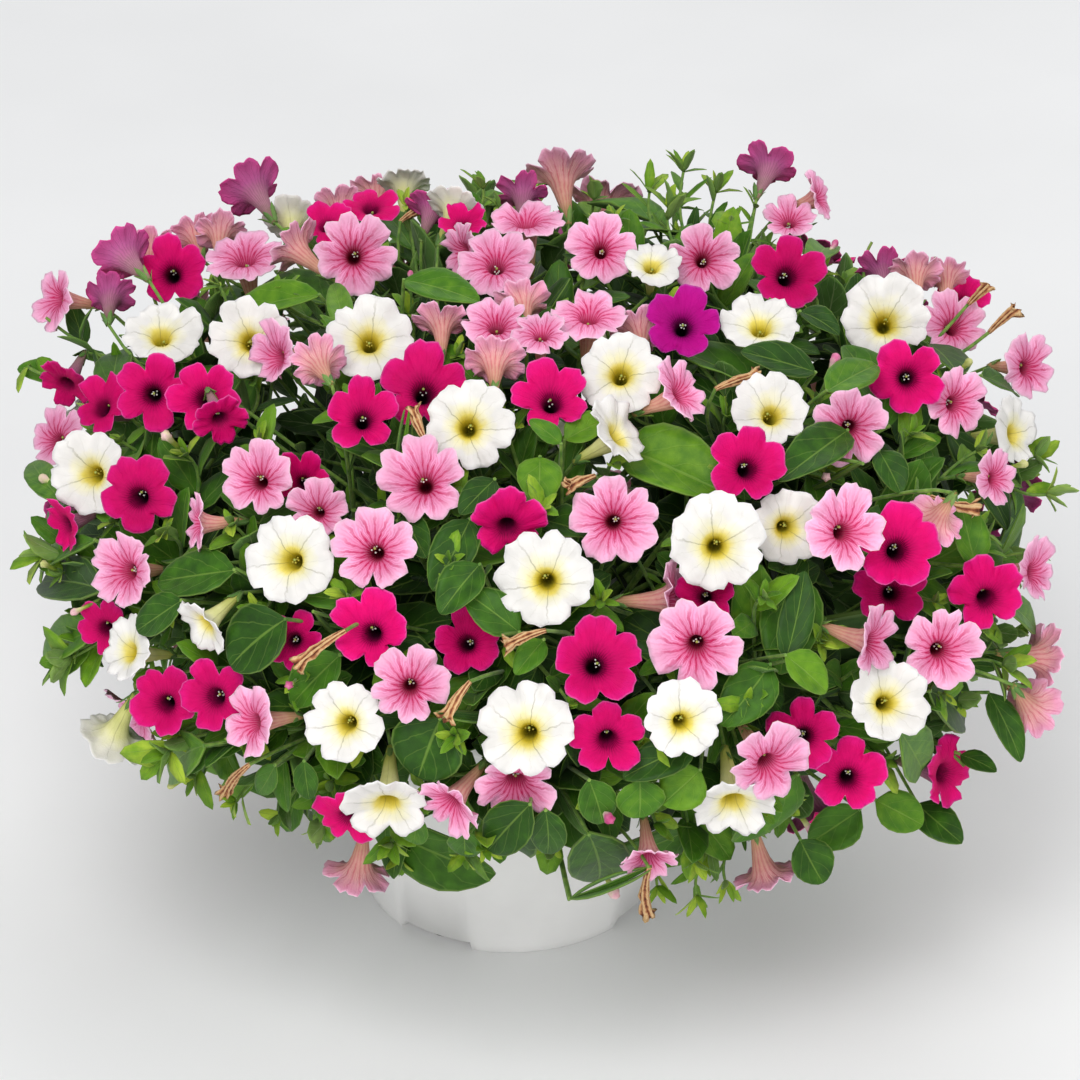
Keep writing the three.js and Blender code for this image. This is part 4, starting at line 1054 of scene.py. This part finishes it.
# pot: one profile spun round, with four drain notches pushed into its foot
potShape = dict(steps=120, baseRadius=79, lean=0.14, height=150, rimRadius=102, rimHeight=12,
                notchTurns=(-31, 60, 150, 240), notchDegrees=28.4, notchInner=71, notchHeight=6)


def buildPot():
    shape = potShape
    top, foot = shape["height"], shape["height"] - shape["rimHeight"]
    rim = shape["rimRadius"]

    def wallAt(height):
        return shape["baseRadius"] + shape["lean"] * height

    # radius and height in millimetres: under the floor, up the wall, over the rim, down inside
    profile = [(0, 0), (shape["notchInner"], 0), (wallAt(0) - 1, 0), (wallAt(0), 1),
               (wallAt(6.2), 6.2), (wallAt(60), 60), (wallAt(foot) - 0.4, foot - 3),
               (wallAt(foot), foot - 0.3), (rim - 1, foot + 0.2), (rim, foot + 1.4),
               (rim, top - 1.6), (rim - 0.5, top - 0.5), (rim - 1.7, top), (wallAt(top) - 1.9, top),
               (wallAt(top) - 2.5, top - 0.7), (wallAt(60) - 2.5, 60), (wallAt(4) - 3, 3.5),
               (wallAt(3) - 4.5, 3), (0, 3)]
    bm = bmesh.new()
    spinProfile(bm, [(radius * mm, height * mm) for radius, height in profile], shape["steps"],
                0.01 * mm)
    bmesh.ops.recalc_face_normals(bm, faces=bm.faces)
    for vert in bm.verts:
        radius, height = math.hypot(vert.co.x, vert.co.y), vert.co.z
        turn = math.degrees(math.atan2(vert.co.y, vert.co.x)) + 90
        inNotch = any(abs((turn - middleTurn + 180) % 360 - 180) < shape["notchDegrees"] / 2
                      for middleTurn in shape["notchTurns"])
        if inNotch and height < 2 * mm and radius > (shape["notchInner"] + 1) * mm:
            share = (shape["notchInner"] + 0.6) * mm / radius
            vert.co.x *= share
            vert.co.y *= share
            lower = 0.2 if height < 0.5 * mm else 0
            vert.co.z = (shape["notchHeight"] - lower) * mm
    return newPiece("pot_shell", bm, [potMaterial()], "pot_plastic", "pot")


buildPot()
nodes["soil"].data.materials.clear()
nodes["soil"].data.materials.append(mixMaterial())
print("pot and potting mix")

# flowers
template = bloomTemplate()
for name, shoot in shoots.items():
    if shoot["flowers"]:
        buildBlooms(template, name, name.split("_")[0], petals[name.split("_")[0]])
template.free()
print("blooms")


# what holds the flowers: stems, stalks, five sepals round each tube and small leaves
def greenStart():
    bm = bmesh.new()
    bm.verts.layers.float.new("tint")
    bm.loops.layers.uv.new("blade")
    return bm


def addModel(bm, columns, rows):
    # a leaf model to be copied, which is taken out again at the end
    source = leafTemplate(columns, rows)
    mesh = bpy.data.meshes.new("model")
    source.to_mesh(mesh)
    source.free()
    old = set(bm.verts)
    bm.from_mesh(mesh)
    bpy.data.meshes.remove(mesh)
    verts = [vert for vert in bm.verts if vert not in old]
    inside = set(verts)
    edges = [edge for edge in bm.edges if edge.verts[0] in inside]
    faces = [face for face in bm.faces if face.verts[0] in inside]
    return verts + edges + faces


def takeOut(bm, *models):
    verts = [item for model in models for item in model if isinstance(item, bmesh.types.BMVert)]
    bmesh.ops.delete(bm, geom=verts, context="VERTS")


def paintStems(bm, known):
    for face in bm.faces:
        if face not in known:
            face.material_index = 2


# five sepals lie along a flower's tube: lengths and splay are shares of the bloom's radius
sepals = dict(back=1.2, out=1.0, width=3.2 * mm, length=(0.42, 0.6), splay=(0.1, 0.3),
              tone=(0.4, 0.8))
# and small leaves stand at the middle of its stalk where there is room
stalkLeaves = dict(points=(4, 5), tries=6, length=(11, 18), width=(4.5, 7.5), room=6 * mm,
                   outward=0.8, tone=(0.4, 0.85))


def addSepals(bm, model, flower, draw):
    heading, radius = flower["heading"], flower["radius"]
    turned = flower["place"].to_3x3()
    start = draw.uniform(0, tau)
    for k in range(5):
        angle = start + k * tau / 5
        side = turned @ Vector((math.cos(angle), math.sin(angle), 0))
        base = flower["anchor"] - heading * sepals["back"] * mm + side * sepals["out"] * mm
        tip = base + heading * radius * draw.uniform(*sepals["length"])
        tip += side * radius * draw.uniform(*sepals["splay"])
        addLeaf(bm, model, base, tip, -side, sepals["width"], draw.uniform(*sepals["tone"]), draw)


def addStalkLeaves(bm, model, flower, draw):
    for k in stalkLeaves["points"]:
        start = flower["line"][k]
        outward = outwardAt(start)
        for attempt in range(stalkLeaves["tries"]):
            aim = Vector(draw.uniform(-1, 1) for i in range(3)) + outward * stalkLeaves["outward"]
            tip = start + aim.normalized() * draw.uniform(*stalkLeaves["length"]) * mm
            above = mix(outward, upward, 0.5).normalized()
            if leafIsFree(start, tip, above, stalkLeaves["room"]):
                width = draw.uniform(*stalkLeaves["width"]) * mm
                tone = draw.uniform(*stalkLeaves["tone"])
                addLeaf(bm, model, start, tip, above, width, tone, draw)
                break


for colour in petalLooks:
    bm = greenStart()
    sepal, small = addModel(bm, 2, 3), addModel(bm, 2, 4)
    names = [name for name in shoots if name.startswith(colour)]
    draw = random.Random(colour)
    for name in names:
        for flower in shoots[name]["flowers"]:
            addSepals(bm, sepal, flower, draw)
    lines = [line for name in names for line in stalksOf(shoots[name])]
    for name in names:
        for flower in shoots[name]["flowers"]:
            addStalkLeaves(bm, small, flower, draw)
    known = set(bm.faces)
    addTubes(bm, lines, 0.5)
    paintStems(bm, known)
    takeOut(bm, sepal, small)
    newPiece(colour + "_stems", bm, [leafTop, leafUnder, stemGreen], "leaf", *names)
print("stems and sepals")


# leafy stems: each carries its own large leaves and the side shoots nearest to it
total = 0
leafyNames = [name for name in shoots if name.startswith("leafy")]
targets = skinTargets(sideShoots["count"])
addSprigs(targets)
for name in leafyNames:
    shoot = shoots[name]
    bm = greenStart()
    large, medium, small = addModel(bm, 6, 9), addModel(bm, 4, 5), addModel(bm, 2, 4)
    draw = random.Random(name)
    for leaf in shoot["leaves"]:
        addLeaf(bm, large, leaf["base"], leaf["tip"], leaf["above"], leaf["width"],
                draw.uniform(0.2, 0.7), draw)
    addTrunkLeaves(bm, medium, shoot["trunk"], draw)
    tubes = stalksOf(shoot)
    for wish in targets[name]:
        total += addSideShoot(bm, medium, small, tubes, draw, *wish)
    known = set(bm.faces)
    addTubes(bm, tubes, 0.6)
    paintStems(bm, known)
    takeOut(bm, large, medium, small)
    newPiece(name.replace("stem", "shoot"), bm, [leafTop, leafUnder, stemGreen], "leaf", name)
print("leafy shoots with", total, "more leaves")


# stamens: five anthers round a stigma in each throat. Places are shares of the bloom's radius, and
# the shades run from yellow (0) to pale (1).
stamenShape = dict(out=(0.03, 0.085), depth=(-0.62, -0.42), anther=0.55 * mm, stretch=1.4,
                   stigmaDepth=-0.4, stigma=0.8 * mm, stigmaShade=0.5, whiteShade=0.2, shade=1.0)


def addKnob(bm, flower, spot, size, shade):
    tint = bm.verts.layers.float["tint"]
    stretch = Matrix.Diagonal((size, size, size * stamenShape["stretch"], 1))
    place = flower["place"] @ Matrix.Translation(spot * flower["radius"]) @ stretch
    made = bmesh.ops.create_icosphere(bm, subdivisions=1, radius=1, matrix=place)
    for vert in made["verts"]:
        vert[tint] = shade


def buildStamens():
    bm = bmesh.new()
    bm.verts.layers.float.new("tint")
    for name, shoot in shoots.items():
        shade = stamenShape["whiteShade" if name.startswith("white") else "shade"]
        for flower in shoot["flowers"]:
            draw = random.Random(flower["radius"])
            start = draw.uniform(0, tau)
            for k in range(5):
                angle = start + k * tau / 5
                out = draw.uniform(*stamenShape["out"])
                spot = Vector((out * math.cos(angle), out * math.sin(angle),
                               draw.uniform(*stamenShape["depth"])))
                addKnob(bm, flower, spot, stamenShape["anther"], shade)
            addKnob(bm, flower, Vector((0, 0, stamenShape["stigmaDepth"])), stamenShape["stigma"],
                    stamenShape["stigmaShade"])
    newPiece("stamens", bm, [stamenMaterial()], "white_petal")


buildStamens()
print("stamens")


# withered flowers: creased rolls with a crumpled mouth
rollShape = dict(
    steps=24, creases=(5, 6, 7), creaseDepth=0.32, twist=4, crumple=0.6, ragged=4 * mm, bend=0.16,
    # radius in millimetres and share of its length, from the calyx over the mouth and down inside
    profile=[(0, 0), (1.2, 0.0), (1.35, 0.1), (1.5, 0.22), (1.7, 0.36), (2.0, 0.5), (2.3, 0.64),
             (2.1, 0.76), (2.5, 0.86), (3.4, 0.95), (4.2, 1.0), (3.0, 0.97), (1.2, 0.88), (0, 0.84)])


def buildWithered():
    bm = bmesh.new()
    tint = bm.verts.layers.float.new("tint")
    for shoot in shoots.values():
        for roll in shoot["withered"]:
            draw = random.Random(roll["base"].x)
            base, tip = roll["base"], roll["tip"]
            length = (tip - base).length
            profile = [(out * mm, share * length) for out, share in rollShape["profile"]]
            fresh = spinProfile(bm, profile, rollShape["steps"], 0.01 * mm)
            place = axesFrame(base, tip - base, Vector((1, 0.3, 0)))
            creases = draw.choice(rollShape["creases"])
            for vert in fresh:
                x, y, z = vert.co
                angle, out, share = math.atan2(y, x), math.hypot(x, y), z / length
                fold = math.sin(creases * angle + rollShape["twist"] * share)
                # painted shade and light: the tint is darker in the hollow of a crease and paler on
                # its ridge
                vert[tint] = 0.55 + 0.4 * fold
                out *= 1 + rollShape["creaseDepth"] * fold * smooth(0, 0.3, share)
                dent = noise.noise(Vector((x, y, z)) * 260 + base * 90)
                out *= 1 + rollShape["crumple"] * dent * share
                tear = noise.noise(Vector((x, y, 0)) * 330 + base * 50)
                z += rollShape["ragged"] * tear * share ** 3
                bend = length * rollShape["bend"] * share * share
                vert.co = place @ Vector((out * math.cos(angle) + bend, out * math.sin(angle), z))
    bmesh.ops.recalc_face_normals(bm, faces=bm.faces)
    newPiece("withered_flowers", bm, [witheredMaterial()], "leaf")


buildWithered()
print("withered flowers")


# flower bud: a furled tube in pleats, pale green at its foot and creamy or pink at its tip
def budMaterial():
    material, tree, shader = newMaterial("furled petal of a bud")
    tint = addNode(tree, "Attribute", attribute_name="tint").outputs["Fac"]
    place = addNode(tree, "TexCoord").outputs["Object"]
    spots = addNode(tree, "TexNoise", place, sockets={"Scale": 1 / (3 * mm), "Detail": 2.0})
    spots = addNode(tree, "MapRange", spots, 0.3, 0.7, -0.06, 0.06)
    ground = addNode(tree, "ValToRGB", addNode(tree, "Math", tint, spots), stops=[
        (0, "#6C8E2C"), (0.3, "#A3B14A"), (0.5, "#D9D79A"), (0.66, "#E9C3C2"), (0.82, "#DE7FA6"),
        (1, "#B8286E")])
    height = addNode(tree, "TexNoise", place, sockets={"Scale": 1 / (0.8 * mm), "Detail": 2.0})
    finishShader(tree, shader, ground, height, 0.15 * mm, Roughness=0.6, Specular_IOR_Level=0.2)
    return material


def buildBuds():
    bm = bmesh.new()
    tint = bm.verts.layers.float.new("tint")
    profile = budShape["profile"]
    for base, way, size in buds:
        draw = random.Random(size)
        colour = draw.uniform(0.35, 1.0)
        place = axesFrame(base, way, Vector((0.4, 1, 0)))
        shades = [colour * smooth(-0.1, 0.9, height) for out, height in profile]
        for vert in spinProfile(bm, profile, budShape["steps"], 1e-4, tint, shades):
            x, y, z = vert.co
            angle, out = math.atan2(y, x), math.hypot(x, y)
            pleat = math.cos(budShape["pleats"] * angle) * smooth(0.3, 0.8, z)
            out *= 1 + budShape["pleatDepth"] * pleat
            angle += budShape["twist"] * z
            vert.co = place @ (Vector((out * math.cos(angle), out * math.sin(angle), z)) * size)
    bmesh.ops.recalc_face_normals(bm, faces=bm.faces)
    newPiece("flower_buds", bm, [budMaterial()], "leaf")


buildBuds()
print(len(buds), "flower buds")

# floor and light: a pale sheet under soft studio lamps
stageLook = dict(floorSize=9.0, floorColour=("#F1F1F1", "#F6F6F6"), worldColour="#F2F4F6",
                 worldStrength=0.5)

bm = bmesh.new()
bmesh.ops.create_grid(bm, x_segments=8, y_segments=8, size=stageLook["floorSize"] / 2)
mesh = bpy.data.meshes.new("floor")
bm.to_mesh(mesh)
bm.free()
material, tree, shader = newMaterial("matt paper backdrop")
place = addNode(tree, "TexCoord").outputs["Object"]
clouds = addNode(tree, "TexNoise", place, sockets={"Scale": 3.0, "Detail": 3.0})
first, second = stageLook["floorColour"]
ground = addNode(tree, "ValToRGB", clouds, stops=[(0.35, first), (0.65, second)])
finishShader(tree, shader, ground, Roughness=0.9, Specular_IOR_Level=0.1)
mesh.materials.append(material)
floor = bpy.data.objects.new("floor", mesh)
scene.collection.objects.link(floor)

world = bpy.data.worlds.new("studio")
world.use_nodes = True
world.node_tree.nodes["Background"].inputs["Color"].default_value = linear(stageLook["worldColour"])
world.node_tree.nodes["Background"].inputs["Strength"].default_value = stageLook["worldStrength"]
scene.world = world


def addLamp(name, place, size, power, aim=Vector((0, 0, 0.2))):
    lamp = bpy.data.lights.new(name, "AREA")
    lamp.size = size
    lamp.energy = power
    holder = bpy.data.objects.new(name, lamp)
    holder.location = place
    holder.rotation_euler = (Vector(place) - aim).to_track_quat("Z", "Y").to_euler()
    scene.collection.objects.link(holder)


addLamp("key lamp", (-0.5, -1.7, 2.4), 1.4, 42)
addLamp("front lamp", (-0.2, -2.4, 0.7), 1.8, 13, Vector((0, 0, 0.05)))
addLamp("fill lamp", (1.8, -1.0, 1.6), 1.6, 10)
addLamp("back lamp", (0.4, 2.0, 2.2), 1.6, 18)
scene.view_settings.view_transform = "Standard"
